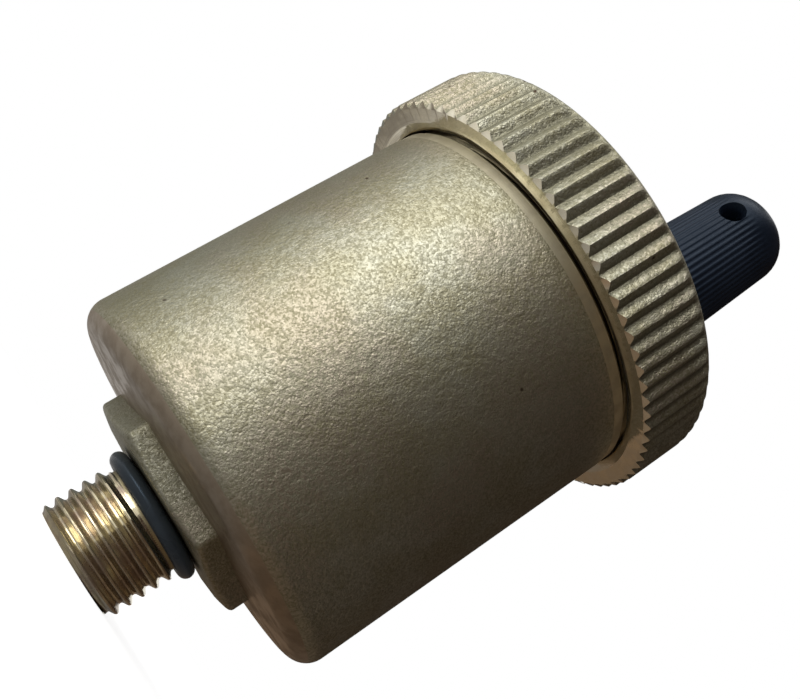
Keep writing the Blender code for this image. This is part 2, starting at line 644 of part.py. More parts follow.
def build_lever(material, pivot):
    """Lever with its hub on the pin, the seal holder's hole and the slot for the yoke's pin."""
    slot_start, slot_end = slot_ends()
    slot_radius = YOKE_PIN_RADIUS + SLOT_SPARE
    eye_radius = slot_radius + SLOT_WALL
    eye = rounded_slot(slot_start + slot_radius, slot_end - slot_radius, eye_radius)
    lever = add_object("float_lever", upright(eye, LEVER_WIDTH / 2), material, parent=pivot)
    half = LEVER_THICKNESS / 2
    bar = box((slot_end, -LEVER_WIDTH / 2, -half), (0.0, LEVER_WIDTH / 2, half))
    pad = cylinder(HOLDER_FLANGE_RADIUS + RUNNING_GAP, -half, half, ROUND_COARSE)
    hub = along_y(cylinder(LEVER_HUB_RADIUS, -LEVER_HUB_WIDTH / 2, LEVER_HUB_WIDTH / 2, ROUND_COARSE))
    pad_place = (-FULCRUM_FROM_NOZZLE, 0.0, 0.0)
    for name, builder, place in (("bar", bar, ORIGIN), ("pad", pad, pad_place), ("hub", hub, ORIGIN)):
        combine(lever, tool(f"lever_{name}", builder, place, pivot), "UNION")
    slot = rounded_slot(slot_start + slot_radius, slot_end - slot_radius, slot_radius)
    pin_hole = cylinder(LEVER_PIN_RADIUS + SEAT_GAP, -LEVER_HUB_WIDTH, LEVER_HUB_WIDTH, ROUND_COARSE)
    stem_hole = cylinder(HOLDER_STEM_RADIUS + SEAT_GAP, -LEVER_WIDTH, LEVER_WIDTH, ROUND_COARSE)
    cuts = [("slot", upright(slot, LEVER_WIDTH), ORIGIN), ("pin_hole", along_y(pin_hole), ORIGIN)]
    cuts.append(("stem_hole", stem_hole, pad_place))
    for name, builder, place in cuts:
        combine(lever, tool(f"lever_{name}", builder, place, pivot), "DIFFERENCE")
    return lever


def build_seal_holder(material, pivot):
    """Rivet-like holder in the lever, with a pocket for the seal pad."""
    stem_bottom = -LEVER_THICKNESS / 2 - SEAT_GAP - HOLDER_RIVET_HEIGHT
    flange_top = HOLDER_FLANGE_BOTTOM + HOLDER_FLANGE_HEIGHT
    pocket_bottom = flange_top - HOLDER_POCKET_DEPTH
    pocket_radius = SEAL_PAD_RADIUS + SEAT_GAP
    outline = [
        (0.0, stem_bottom),
        (HOLDER_RIVET_RADIUS, stem_bottom),
        (HOLDER_RIVET_RADIUS, stem_bottom + HOLDER_RIVET_HEIGHT),
        (HOLDER_STEM_RADIUS, stem_bottom + HOLDER_RIVET_HEIGHT),
        (HOLDER_STEM_RADIUS, HOLDER_FLANGE_BOTTOM),
        (HOLDER_FLANGE_RADIUS, HOLDER_FLANGE_BOTTOM),
        (HOLDER_FLANGE_RADIUS, flange_top),
        (pocket_radius, flange_top),
        (pocket_radius, pocket_bottom),
        (0.0, pocket_bottom),
    ]
    at = (-FULCRUM_FROM_NOZZLE, 0.0, 0.0)
    return add_object("seal_holder", revolved(outline, ROUND_COARSE), material, at, pivot)


def build_seal_pad(material, pivot):
    pad = cylinder(SEAL_PAD_RADIUS, PAD_BOTTOM, PAD_TOP, ROUND_COARSE)
    return add_object("seal_pad", pad, material, (-FULCRUM_FROM_NOZZLE, 0.0, 0.0), pivot)


def add_empty(name, place, rotation, parent=None):
    empty = bpy.data.objects.new(name, None)
    empty.location = place
    empty.rotation_euler = rotation
    empty.parent = parent
    bpy.context.scene.collection.objects.link(empty)
    return empty


def vent_heading():
    """Empty on the valve's axis that turns the vent and its lever works to their side of the cover."""
    return add_empty("vent_heading", ORIGIN, (0.0, 0.0, VENT_HEADING))


def lever_pivot(heading):
    """Empty on the lever's pin, tilted as the lever hangs when the float is down."""
    at = (FULCRUM_X, 0.0, FULCRUM_Z)
    return add_empty("lever_pivot", at, (0.0, -LEVER_REST_TILT, 0.0), heading)


def build_float(material):
    """Hollow float: a cup with its lid pushed in."""
    inner = FLOAT_RADIUS - FLOAT_WALL
    outer_corner = arc(
        (FLOAT_RADIUS - FLOAT_CORNER, FLOAT_BOTTOM_Z + FLOAT_CORNER), FLOAT_CORNER, -90, 0, 3
    )
    floor = FLOAT_BOTTOM_Z + FLOAT_WALL
    outline = [(0.0, FLOAT_BOTTOM_Z), *outer_corner, (FLOAT_RADIUS, FLOAT_LID_Z), (inner, FLOAT_LID_Z)]
    outline += [(inner, floor + FLOAT_WALL), (inner - FLOAT_WALL, floor), (0.0, floor)]
    add_object("float_cup", revolved(outline, ROUND_MEDIUM), material)
    lid_bottom = FLOAT_LID_Z + SEAT_GAP
    spigot = inner - RUNNING_GAP
    lid = [
        (0.0, lid_bottom - FLOAT_LID_SPIGOT),
        (spigot, lid_bottom - FLOAT_LID_SPIGOT),
        (spigot, lid_bottom),
        (FLOAT_RADIUS, lid_bottom),
        (FLOAT_RADIUS, FLOAT_TOP_Z - FLOAT_LID_THICKNESS / 2),
        (FLOAT_RADIUS - FLOAT_LID_THICKNESS / 2, FLOAT_TOP_Z),
        (0.0, FLOAT_TOP_Z),
    ]
    add_object("float_lid", revolved(lid, ROUND_MEDIUM), material)


def build_yoke(material, heading):
    """U-shaped yoke that stands on the float's lid, open for the lever's eye."""
    half_gap = YOKE_SPACING / 2
    half_width = YOKE_WIDTH / 2
    low = FLOAT_TOP_Z + SEAT_GAP
    top = YOKE_PIN_Z + half_width
    outer = half_gap + YOKE_SHEET
    base = low + YOKE_SHEET
    section = [(-outer, low), (outer, low), (outer, top), (half_gap, top)]
    section += [(half_gap, base), (-half_gap, base), (-half_gap, top), (-outer, top)]
    builder = prism([(y, z) for y, z in section], -half_width, half_width)
    turn = Matrix(((0, 0, 1, 0), (1, 0, 0, 0), (0, 1, 0, 0), (0, 0, 0, 1)))
    at = (YOKE_X, 0.0, 0.0)
    yoke = add_object("float_yoke", turned_over(builder, turn), material, at, heading)
    span = outer + OVERCUT
    hole = along_y(cylinder(YOKE_PIN_RADIUS + SEAT_GAP, -span, span, ROUND_COARSE))
    helper = tool("yoke_pin_hole", hole, (YOKE_X, 0.0, YOKE_PIN_Z), heading)
    combine(yoke, helper, "DIFFERENCE")
    return yoke


def build_yoke_pin(material, heading):
    half = YOKE_SPACING / 2 + YOKE_SHEET + YOKE_PIN_TAIL
    pin = along_y(cylinder(YOKE_PIN_RADIUS, -half, half, ROUND_COARSE))
    return add_object("yoke_pin", pin, material, (YOKE_X, 0.0, YOKE_PIN_Z), heading)


def cap_radius(height):
    """Outer radius of the cap's ribs at a height above its foot."""
    shoulder = CAP_HEIGHT - CAP_DOME_HEIGHT
    return CAP_BASE_RADIUS + (CAP_TIP_RADIUS - CAP_BASE_RADIUS) * height / shoulder


def cap_levels():
    """(z, crest radius, groove radius) of the cap, with the ribs running out at foot and dome."""
    shoulder = CAP_HEIGHT - CAP_DOME_HEIGHT
    collar = cap_radius(CAP_COLLAR_HEIGHT)
    levels = [(0.0, CAP_BASE_RADIUS, CAP_BASE_RADIUS), (CAP_COLLAR_HEIGHT, collar, collar)]
    levels.append((CAP_COLLAR_HEIGHT + CAP_RIB_DEPTH, collar, collar - CAP_RIB_DEPTH))
    top = cap_radius(shoulder)
    levels.append((shoulder, top, top - CAP_RIB_DEPTH))
    for step in range(1, CAP_DOME_STEPS):
        angle = math.pi / 2 * step / CAP_DOME_STEPS
        crest = top * math.cos(angle)
        fade = CAP_RIB_DEPTH * math.cos(angle) * 0.5
        levels.append((shoulder + CAP_DOME_HEIGHT * math.sin(angle), crest, crest - fade))
    return levels


def ribbed_cap_builder():
    """Closed outer form of the cap, with two points on each rib and two in each groove."""
    builder = bmesh.new()
    pitch = 2 * math.pi / CAP_RIB_COUNT
    shape = [(-0.3, 1), (0.1, 1), (0.25, 0), (0.55, 0)]
    rings = []
    for z, crest, groove in cap_levels():
        ring = []
        for rib in range(CAP_RIB_COUNT):
            for share, on_rib in shape:
                point = polar(crest if on_rib else groove, pitch * (rib + share))
                ring.append(builder.verts.new((point.x, point.y, z)))
        rings.append(ring)
    for below, above in zip(rings, rings[1:]):
        for k in range(len(below)):
            builder.faces.new((below[k - 1], below[k], above[k], above[k - 1]))
    builder.faces.new(rings[0][::-1])
    tip = builder.verts.new((0.0, 0.0, CAP_HEIGHT))
    last = rings[-1]
    for k in range(len(last)):
        builder.faces.new((last[k - 1], last[k], tip))
    return builder


def build_cap(material, heading):
    """Vent cap: ribbed shell with a screw socket, a chamber above it and a vent hole in its side."""
    at = (VENT_OFFSET, 0.0, CAP_BASE_Z)
    cap = add_object("vent_cap", ribbed_cap_builder(), material, at, heading)
    socket_roof = CAP_SOCKET_Z - CAP_BASE_Z
    mouth = CAP_SOCKET_RADIUS + SPIGOT_ROOT_FILLET
    inside = [
        (0.0, -OVERCUT),
        (mouth, -OVERCUT),
        (mouth, SPIGOT_ROOT_FILLET / 2),
        (CAP_SOCKET_RADIUS, SPIGOT_ROOT_FILLET * 1.5),
        (CAP_SOCKET_RADIUS, socket_roof),
        (CAP_CHAMBER_RADIUS, socket_roof),
        (CAP_CHAMBER_RADIUS, CAP_HEIGHT - CAP_ROOF),
        (0.0, CAP_HEIGHT - CAP_ROOF),
    ]
    combine(cap, tool("cap_inside", revolved(inside, ROUND_COARSE), at, heading), "DIFFERENCE")
    hole = cylinder(CAP_VENT_RADIUS, 0.0, CAP_BASE_RADIUS + OVERCUT, ROUND_COARSE)
    side = Matrix.Rotation(CAP_VENT_ANGLE - VENT_HEADING, 4, "Z")
    turn = side @ Matrix.Rotation(math.radians(90.0), 4, "Y")
    hole_place = (VENT_OFFSET, 0.0, CAP_TOP_Z - CAP_VENT_DROP)
    helper = tool("cap_vent_hole", turned_over(hole, turn), hole_place, heading)
    combine(cap, helper, "DIFFERENCE")
    return cap


def build_washer(material, heading):
    """Seal washer in the cap, notched so that air passes its edge once it lifts."""
    radius = CAP_SOCKET_RADIUS - RUNNING_GAP
    at = (VENT_OFFSET, 0.0, WASHER_Z)
    disc = cylinder(radius, 0.0, WASHER_THICKNESS, ROUND_COARSE)
    washer = add_object("cap_washer", disc, material, at, heading)
    for number in range(WASHER_NOTCH_COUNT):
        low = (WASHER_NOTCH_INNER, -WASHER_NOTCH_WIDTH / 2, -OVERCUT)
        high = (radius + OVERCUT, WASHER_NOTCH_WIDTH / 2, WASHER_THICKNESS + OVERCUT)
        notch = turned_over(box(low, high), Matrix.Rotation(math.pi / 2 * number, 4, "Z"))
        combine(washer, tool(f"washer_notch_{number}", notch, at, heading), "DIFFERENCE")
    return washer


def build_valve():
    clear_scene()
    brass, bright = cast_brass(), turned_brass()
    rubber, steel = black_rubber(), stainless_steel()
    heading = vent_heading()
    pivot = lever_pivot(heading)
    build_body(brass)
    build_inlet_oring(rubber)
    build_cover(brass, heading)
    build_gasket(rubber)
    build_nozzle(bright, heading)
    build_nozzle_oring(rubber, heading)
    build_bracket(steel, heading)
    build_screws(steel, heading)
    build_lever_pin(steel, heading)
    build_pin_clip(steel, heading)
    build_lever(lever_plastic(), pivot)
    build_seal_holder(bright, pivot)
    build_seal_pad(rubber, pivot)
    build_float(float_plastic())
    build_yoke(steel, heading)
    build_yoke_pin(steel, heading)
    build_cap(black_plastic(), heading)
    build_washer(rubber, heading)


build_valve()
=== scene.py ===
# %% [markdown]
# # An air release valve in brass
#
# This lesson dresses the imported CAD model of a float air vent: a cast brass pot that stands on a threaded
# inlet, a knurled cover screwed onto it, and a ribbed black cap beside the centre. The CAD model gives every
# size and place. Here the visible pieces get their fine shape, and every surface gets its finish.

# %% Load the fixed frame
import math

import bmesh
import bpy
from mathutils import Matrix, Vector


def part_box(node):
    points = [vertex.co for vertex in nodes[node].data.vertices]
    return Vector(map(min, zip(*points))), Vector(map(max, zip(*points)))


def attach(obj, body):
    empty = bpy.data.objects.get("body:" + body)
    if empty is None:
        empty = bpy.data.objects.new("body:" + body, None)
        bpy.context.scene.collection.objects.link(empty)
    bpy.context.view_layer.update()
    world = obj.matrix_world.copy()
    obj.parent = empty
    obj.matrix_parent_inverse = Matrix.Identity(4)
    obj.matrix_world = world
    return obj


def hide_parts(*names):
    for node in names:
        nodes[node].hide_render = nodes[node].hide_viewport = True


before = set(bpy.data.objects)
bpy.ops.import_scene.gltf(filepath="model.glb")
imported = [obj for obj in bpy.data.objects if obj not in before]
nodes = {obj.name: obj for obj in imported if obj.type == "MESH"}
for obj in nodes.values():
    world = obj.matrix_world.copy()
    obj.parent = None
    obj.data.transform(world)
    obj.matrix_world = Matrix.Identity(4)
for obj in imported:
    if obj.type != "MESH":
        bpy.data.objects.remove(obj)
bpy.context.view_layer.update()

# %% [markdown]
# Sizes are read off the CAD nodes where a node has them, and only what the visual model adds is written as a
# number. Working in millimetres keeps the numbers readable; `MM` turns them into Blender's metres.

# %% Sizes
MM = 0.001


def low_high(node):
    """The lowest and highest corner of a CAD node, in millimetres."""
    return [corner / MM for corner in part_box(node)]


body_high = low_high("body_shell")[1]
cover_low, cover_high = low_high("cover_ring")
cap_low, cap_high = low_high("vent_cap")
oring_low, oring_high = low_high("inlet_oring")
BODY_RADIUS = body_high.x
RIM_TOP = body_high.z  # the chamber's rim, inside the cover
COVER_RADIUS = cover_high.x
COVER_BOTTOM = cover_low.z
COVER_TOP = COVER_BOTTOM + 10.0
BAND_TOP = COVER_BOTTOM + 0.2  # the machined band ends just inside the cover's mouth
CAP_BASE = cap_low.z
CAP_RADIUS = 6.2
VENT = (0.5 * (cap_low.x + cap_high.x), 0.5 * (cap_low.y + cap_high.y))
BORE = 4.0
THREAD_CREST = 6.579
THREAD_ROOT = 5.86
THREAD_END = 7.75
NECK = 5.85  # the plain neck that the O-ring sits on
HEX_BOTTOM = oring_high.z + 0.05
HEX_TOP = HEX_BOTTOM + 2.4
print("body radius", round(BODY_RADIUS, 2), "cover radius", round(COVER_RADIUS, 2), "vent axis", VENT)

# %% [markdown]
# ## Building blocks
#
# Every piece here is drawn point by point in a bmesh, or comes out of a modifier, and either way it ends as a
# plain mesh. These few helpers do that, and smooth the faces while they keep sharp edges sharp.


# %% Mesh helpers
def new_object(name, mesh):
    obj = bpy.data.objects.new(name, mesh)
    bpy.context.scene.collection.objects.link(obj)
    return obj


def keep_mesh(bm, name):
    """Makes a bmesh a new mesh, and frees it."""
    mesh = bpy.data.meshes.new(name)
    bm.to_mesh(mesh)
    bm.free()
    return mesh


def keep_result(obj, modifier):
    """Makes what a modifier gives the object's plain mesh, and removes the modifier."""
    depsgraph = bpy.context.evaluated_depsgraph_get()
    mesh = bpy.data.meshes.new_from_object(obj.evaluated_get(depsgraph), depsgraph=depsgraph)
    obj.modifiers.remove(modifier)
    obj.data = mesh
    mesh.name = obj.name
    return mesh


def smooth(mesh, angle=32.0):
    mesh.shade_smooth()
    mesh.set_sharp_from_angle(angle=math.radians(angle))


# %% [markdown]
# Nearly every piece of a valve is turned on a lathe, so the main helper spins an outline of radius and height.
# Each stretch of the outline can name a finish, which becomes a material slot on the mesh, because a casting
# that has been machined in places is still one piece of metal.


# %% Lathe helper
def lathe(name, outline, facets=160, centre=(0.0, 0.0), closed=True):
    """Spins (radius, height[, finish]) points in millimetres; points on the axis close into a pole."""
    bm = bmesh.new()
    rings = []
    for point in outline:
        radius, height = point[0], point[1]
        if radius <= 0.0:
            rings.append([bm.verts.new((centre[0] * MM, centre[1] * MM, height * MM))])
            continue
        ring = []
        for step in range(facets):
            angle = 2.0 * math.pi * step / facets
            x = centre[0] + radius * math.cos(angle)
            y = centre[1] + radius * math.sin(angle)
            ring.append(bm.verts.new((x * MM, y * MM, height * MM)))
        rings.append(ring)
    pairs = list(zip(range(len(rings)), range(1, len(rings))))
    if closed:
        pairs.append((len(rings) - 1, 0))
    for one, two in pairs:
        finish = outline[one][2] if len(outline[one]) > 2 else 0
        here, there = rings[one], rings[two]
        if len(here) == 1 and len(there) == 1:
            continue
        for step in range(facets):
            after = (step + 1) % facets
            corners = [here[step % len(here)], here[after % len(here)]]
            corners += [there[after % len(there)], there[step % len(there)]]
            face = bm.faces.new(list(dict.fromkeys(corners)))
            face.material_index = finish
    bmesh.ops.recalc_face_normals(bm, faces=bm.faces)
    mesh = keep_mesh(bm, name)
    smooth(mesh)
    return new_object(name, mesh)


def arc(centre, radius, start, end, steps):
    """Points (radius, height) along a rounded corner, angles in degrees."""
    found = []
    for step in range(steps + 1):
        angle = math.radians(start + (end - start) * step / steps)
        found.append((centre[0] + radius * math.cos(angle), centre[1] + radius * math.sin(angle)))
    return found


# %% [markdown]
# ## Finishes
#
# Brass shows two faces here. Where it came out of the mould and was blasted, it has a fine grain that
# sparkles and a khaki tone; where a tool touched it, it has rings and a warmer gold. Effects that several
# finishes share are node groups, so that the same grain is tuned once and used at different sizes.


# %% Node helpers
def link(tree, source, target):
    tree.links.new(source, target)


def node(tree, kind, **settings):
    """Adds a node; keys that name a socket set its value, the others set a property."""
    made = tree.nodes.new(kind)
    for key, value in settings.items():
        if key in made.inputs:
            made.inputs[key].default_value = value
        else:
            setattr(made, key, value)
    return made


def fill(made, **values):
    """Sets a node's sockets by name, with an underscore for a space."""
    for key, value in values.items():
        made.inputs[key.replace("_", " ")].default_value = value


def math_node(tree, operation, first, second=None, third=None):
    made = tree.nodes.new("ShaderNodeMath")
    made.operation = operation
    for socket, value in zip(made.inputs, (first, second, third)):
        if value is None:
            continue
        if isinstance(value, (int, float)):
            socket.default_value = value
        else:
            tree.links.new(value, socket)
    return made.outputs[0]


def shader_group(name, inputs, outputs):
    group = bpy.data.node_groups.new(name, "ShaderNodeTree")
    for label, kind, value in inputs:
        socket = group.interface.new_socket(name=label, in_out="INPUT", socket_type=kind)
        if value is not None:
            socket.default_value = value
    for label, kind in outputs:
        group.interface.new_socket(name=label, in_out="OUTPUT", socket_type=kind)
    return group, group.nodes.new("NodeGroupInput"), group.nodes.new("NodeGroupOutput")


def scaled(tree, vector, size):
    """Divides a coordinate by a feature size, so that a noise of scale 1 has features of that size."""
    shrink = node(tree, "ShaderNodeVectorMath", operation="DIVIDE")
    link(tree, vector, shrink.inputs[0])
    link(tree, size, shrink.inputs[1])
    return shrink.outputs[0]


def noise(tree, vector, scale=1.0, detail=2.0, roughness=0.5):
    made = node(tree, "ShaderNodeTexNoise", Scale=scale, Detail=detail, Roughness=roughness)
    link(tree, vector, made.inputs["Vector"])
    return made.outputs["Fac"]


def remap(tree, value, low, high, to_low=0.0, to_high=1.0):
    made = node(tree, "ShaderNodeMapRange", interpolation_type="SMOOTHSTEP")
    link(tree, value, made.inputs["Value"])
    fill(made, From_Min=low, From_Max=high, To_Min=to_low, To_Max=to_high)
    return made.outputs["Result"]


# %% [markdown]
# The blasted grain starts from small cells, each with its own brightness, which is how grit leaves a metal
# skin: facet by facet. A noise over them breaks their outlines, a wider one is the orange-peel unevenness of
# a sand casting, and two still wider ones are the patches where the skin is more golden, more olive or more
# brown. The last one is nearly always below its threshold and leaves the odd dark pit.


# %% Blasted grain group
def make_blasted_grain():
    inputs = [("Vector", "NodeSocketVector", None), ("Grain Size", "NodeSocketFloat", 0.0003)]
    outputs = [(n, "NodeSocketFloat") for n in ("Height", "Speckle", "Patches", "Tint", "Pits")]
    group, entry, leave = shader_group("blasted_grain", inputs, outputs)
    vector = scaled(group, entry.outputs["Vector"], entry.outputs["Grain Size"])
    cells = node(group, "ShaderNodeTexVoronoi", Scale=1.0, Randomness=1.0)
    link(group, vector, cells.inputs["Vector"])
    own = node(group, "ShaderNodeSeparateColor")
    link(group, cells.outputs["Color"], own.inputs[0])
    fine = noise(group, vector, 0.55, 3.0, 0.7)
    peel = math_node(group, "ADD", noise(group, vector, 0.14, 2.0, 0.5), noise(group, vector, 0.33, 1.0, 0.5))
    domes = math_node(group, "MULTIPLY_ADD", cells.outputs["Distance"], -0.45, fine)
    height = math_node(group, "MULTIPLY_ADD", peel, 1.2, domes)
    speckle = math_node(group, "MULTIPLY_ADD", own.outputs[0], 0.45, math_node(group, "MULTIPLY", fine, 0.8))
    link(group, height, leave.inputs["Height"])
    link(group, remap(group, speckle, 0.3, 0.95), leave.inputs["Speckle"])
    masks = {
        "Patches": ((0.03, 3.0, 0.6), 0.36, 0.64),
        "Tint": ((0.014, 2.0, 0.5), 0.4, 0.62),
        "Pits": ((0.13, 1.0, 0.4), 0.775, 0.83),
    }
    for label, (waves, low, high) in masks.items():
        link(group, remap(group, noise(group, vector, *waves), low, high), leave.inputs[label])
    return group


blasted_grain = make_blasted_grain()
print("group", blasted_grain.name, [s.name for s in blasted_grain.interface.items_tree])

# %% [markdown]
# Turning marks are rings about the valve's axis. Distance from the axis and height are the only two things
# that a lathe tool knows, so the group feeds those two numbers to a noise and leaves out the angle.


# %% Turning marks group
def make_turning_marks():
    inputs = [("Vector", "NodeSocketVector", None), ("Centre X", "NodeSocketFloat", 0.0)]
    inputs += [("Centre Y", "NodeSocketFloat", 0.0), ("Line Size", "NodeSocketFloat", 0.0002)]
    outputs = [("Height", "NodeSocketFloat"), ("Stain", "NodeSocketFloat")]
    group, entry, leave = shader_group("turning_marks", inputs, outputs)
    parts = node(group, "ShaderNodeSeparateXYZ")
    link(group, entry.outputs["Vector"], parts.inputs[0])
    x = math_node(group, "SUBTRACT", parts.outputs["X"], entry.outputs["Centre X"])
    y = math_node(group, "SUBTRACT", parts.outputs["Y"], entry.outputs["Centre Y"])
    across = math_node(group, "MULTIPLY", y, y)
    radius = math_node(group, "SQRT", math_node(group, "MULTIPLY_ADD", x, x, across))
    flat = node(group, "ShaderNodeCombineXYZ")
    link(group, radius, flat.inputs["X"])
    link(group, parts.outputs["Z"], flat.inputs["Y"])
    lines = noise(group, scaled(group, flat.outputs[0], entry.outputs["Line Size"]), 1.0, 2.0, 0.6)
    stain = noise(group, entry.outputs["Vector"], 420.0, 3.0, 0.6)
    link(group, lines, leave.inputs["Height"])
    link(group, remap(group, stain, 0.35, 0.68), leave.inputs["Stain"])
    return group


turning_marks = make_turning_marks()
print("group", turning_marks.name)

# %% [markdown]
# Each finish is a material with one Principled shader. The groups only deliver masks and heights, and the
# material turns them into colour, roughness and a bump.


# %% Material helpers
def plain_material(name):
    material = bpy.data.materials.new(name)
    material.use_nodes = True
    return material, material.node_tree, material.node_tree.nodes["Principled BSDF"]


def new_material(name, metallic, roughness):
    material, tree, shader = plain_material(name)
    fill(shader, Metallic=metallic, Specular_IOR_Level=0.3, Roughness=roughness)
    coordinates = tree.nodes.new("ShaderNodeTexCoord").outputs["Object"]
    return material, tree, shader, coordinates


def use_group(tree, group, coordinates, **values):
    made = tree.nodes.new("ShaderNodeGroup")
    made.node_tree = group
    link(tree, coordinates, made.inputs["Vector"])
    fill(made, **values)
    return made


def blend_colour(tree, factor, first, second):
    """Mixes two colours; each may be a tuple or a socket."""
    mix = node(tree, "ShaderNodeMix", data_type="RGBA")
    link(tree, factor, mix.inputs[0])
    for socket, value in ((mix.inputs[6], first), (mix.inputs[7], second)):
        if isinstance(value, tuple):
            socket.default_value = (*value, 1.0)
        else:
            link(tree, value, socket)
    return mix.outputs[2]


def bump(tree, shader, height, strength, distance):
    made = node(tree, "ShaderNodeBump", Strength=strength, Distance=distance)
    link(tree, height, made.inputs["Height"])
    link(tree, made.outputs[0], shader.inputs["Normal"])


# %% [markdown]
# Blasted brass: khaki in the hollows of the grain and pale on its crests. The `valley` attribute, which only
# the toothed rim's finish reads, darkens the grooves between the teeth with a painted shade.


# %% Blasted brass
def make_blasted_brass(name, grain_size, relief=0.5, groove_shade_colour=None):
    material, tree, shader, coordinates = new_material(name, 0.9, 0.5)
    grain = use_group(tree, blasted_grain, coordinates, Grain_Size=grain_size)
    pale = blend_colour(tree, grain.outputs["Patches"], (0.4, 0.38, 0.275), (0.46, 0.45, 0.36))
    pale = blend_colour(tree, grain.outputs["Tint"], pale, (0.42, 0.37, 0.285))
    dark = blend_colour(tree, grain.outputs["Patches"], (0.26, 0.24, 0.15), (0.29, 0.28, 0.2))
    colour = blend_colour(tree, grain.outputs["Speckle"], dark, pale)
    colour = blend_colour(tree, grain.outputs["Pits"], colour, (0.08, 0.055, 0.035))
    # Painted shade: the deeper a point lies in a groove, the more its colour turns to the dark groove colour.
    if groove_shade_colour:
        valley = node(tree, "ShaderNodeAttribute", attribute_name="valley")
        colour = blend_colour(tree, remap(tree, valley.outputs["Fac"], 0.45, 1.0), colour, groove_shade_colour)
    link(tree, colour, shader.inputs["Base Color"])
    link(tree, remap(tree, grain.outputs["Speckle"], 0.0, 1.0, 0.58, 0.44), shader.inputs["Roughness"])
    bump(tree, shader, grain.outputs["Height"], relief, 0.0001)
    return material


cast_skin = make_blasted_brass("cast_skin", 0.0002)
# The rim's teeth get a painted shade in their grooves.
tooth_skin = make_blasted_brass("tooth_skin", 0.0002, 0.8, (0.22, 0.21, 0.15))
print("finishes", cast_skin.name, tooth_skin.name)

# %% [markdown]
# Turned brass comes in seven tones, because each cut is a different one: the cover's underside is polished and
# pale, the band is satin, the skirt over the hexagon is brown with oxide, the hidden walls get a dark brown
# that is painted shade, and the threads shine. One function makes them all, from a clean colour, a stained
# colour and a roughness.


# %% Turned brass
def make_turned_brass(name, colour, stained, centre=(0.0, 0.0), strength=0.35, rough=0.33):
    material, tree, shader, coordinates = new_material(name, 0.95, rough)
    middle = {"Centre_X": centre[0] * MM, "Centre_Y": centre[1] * MM}
    marks = use_group(tree, turning_marks, coordinates, **middle, Line_Size=0.00016)
    stain = marks.outputs["Stain"]
    link(tree, blend_colour(tree, stain, colour, stained), shader.inputs["Base Color"])
    link(tree, remap(tree, stain, 0.0, 1.0, rough - 0.05, rough + 0.14), shader.inputs["Roughness"])
    bump(tree, shader, marks.outputs["Height"], strength, 0.00005)
    return material


turned_gold = make_turned_brass("turned_gold", (0.66, 0.58, 0.36), (0.5, 0.43, 0.26))
turned_face = make_turned_brass("turned_face", (0.92, 0.86, 0.68), (0.84, 0.77, 0.58), strength=0.12, rough=0.1)
turned_band = make_turned_brass("turned_band", (0.56, 0.53, 0.42), (0.5, 0.46, 0.35), strength=0.2, rough=0.45)
skirt_brown = make_turned_brass("skirt_brown", (0.4, 0.335, 0.255), (0.335, 0.276, 0.208), rough=0.42)
# A dark brown that paints the shade in hollow, hidden places.
turned_brown = make_turned_brass("turned_brown", (0.215, 0.175, 0.122), (0.175, 0.138, 0.096), rough=0.42)
thread_brass = make_turned_brass("thread_brass", (0.66, 0.59, 0.4), (0.46, 0.37, 0.28), rough=0.15)
vent_brass = make_turned_brass("vent_brass", (0.6, 0.48, 0.23), (0.42, 0.32, 0.16), centre=VENT)
print("turned finishes ready")

# %% [markdown]
# The soft and moulded parts are dark, and their look is mostly in the gloss: rubber has a dull sheen with a
# little bloom on it, and the cap's plastic is satin with a blue cast where the light grazes it.


# %% Rubber, plastics and steel
def make_moulded(name, colour, dusty, roughness, grain_size, strength, metallic=0.0, spread=0.12):
    material, tree, shader, coordinates = new_material(name, metallic, roughness)
    grain = use_group(tree, blasted_grain, coordinates, Grain_Size=grain_size)
    patches = grain.outputs["Patches"]
    link(tree, blend_colour(tree, patches, colour, dusty), shader.inputs["Base Color"])
    dulled = remap(tree, patches, 0.0, 1.0, roughness - spread / 2, roughness + spread)
    link(tree, dulled, shader.inputs["Roughness"])
    bump(tree, shader, grain.outputs["Height"], strength, 0.00004)
    return material


rubber = make_moulded("black_rubber", (0.042, 0.05, 0.058), (0.056, 0.066, 0.077), 0.3, 0.0003, 0.25)
cap_plastic = make_moulded("cap_plastic", (0.005, 0.008, 0.015), (0.008, 0.012, 0.022), 0.42, 0.0004, 0.2)
for moulding in (rubber, cap_plastic):
    fill(moulding.node_tree.nodes["Principled BSDF"], Specular_Tint=(0.55, 0.75, 1.0, 1.0))
float_plastic = make_moulded("float_plastic", (0.7, 0.69, 0.62), (0.62, 0.6, 0.5), 0.42, 0.0009, 0.2)
lever_plastic = make_moulded("lever_plastic", (0.6, 0.57, 0.48), (0.52, 0.49, 0.4), 0.38, 0.0006, 0.25)
steel = make_moulded("bright_steel", (0.56, 0.56, 0.55), (0.46, 0.46, 0.44), 0.28, 0.0004, 0.25, metallic=1.0)
print("other finishes ready")

# %% [markdown]
# ## The cast body
#
# One outline carries the whole pot: bore, neck, brown skirt, blasted wall, the machined band under the cover,
# the core of the threaded neck and the chamber inside. A revolved outline is the honest way to make it, since
# the real one was turned where it is smooth and moulded round where it is rough. The outline stays inside the
# hexagon and the threads, which are pieces of their own.

# %% Body sizes
# BROWN paints shade: it goes on the hollow under the hexagon, the walls inside the cover and the chamber's
# wall.
CAST, BAND, BROWN, GOLD, SKIRT = range(5)
INLET_LIP = 5.9
INLET_CORE = 5.2
HEX_CORE = 10.2
WALL_CORNER = 2.6
WALL_FOOT = HEX_TOP + 0.5
SKIRT_TOP = WALL_FOOT + 1.15
WALL_TOP = BAND_TOP - 1.5
CHAMBER = BODY_RADIUS - 2.9
FLOOR = HEX_TOP + 3.6
FLOOR_CORNER = 1.6
THREAD_NECK = BODY_RADIUS - 0.6
NECK_CORE = THREAD_NECK - 0.9
NECK_FOOT = BAND_TOP + 1.0
print("chamber radius", round(CHAMBER, 2), "wall from", round(WALL_FOOT, 2), "to", round(WALL_TOP, 2))

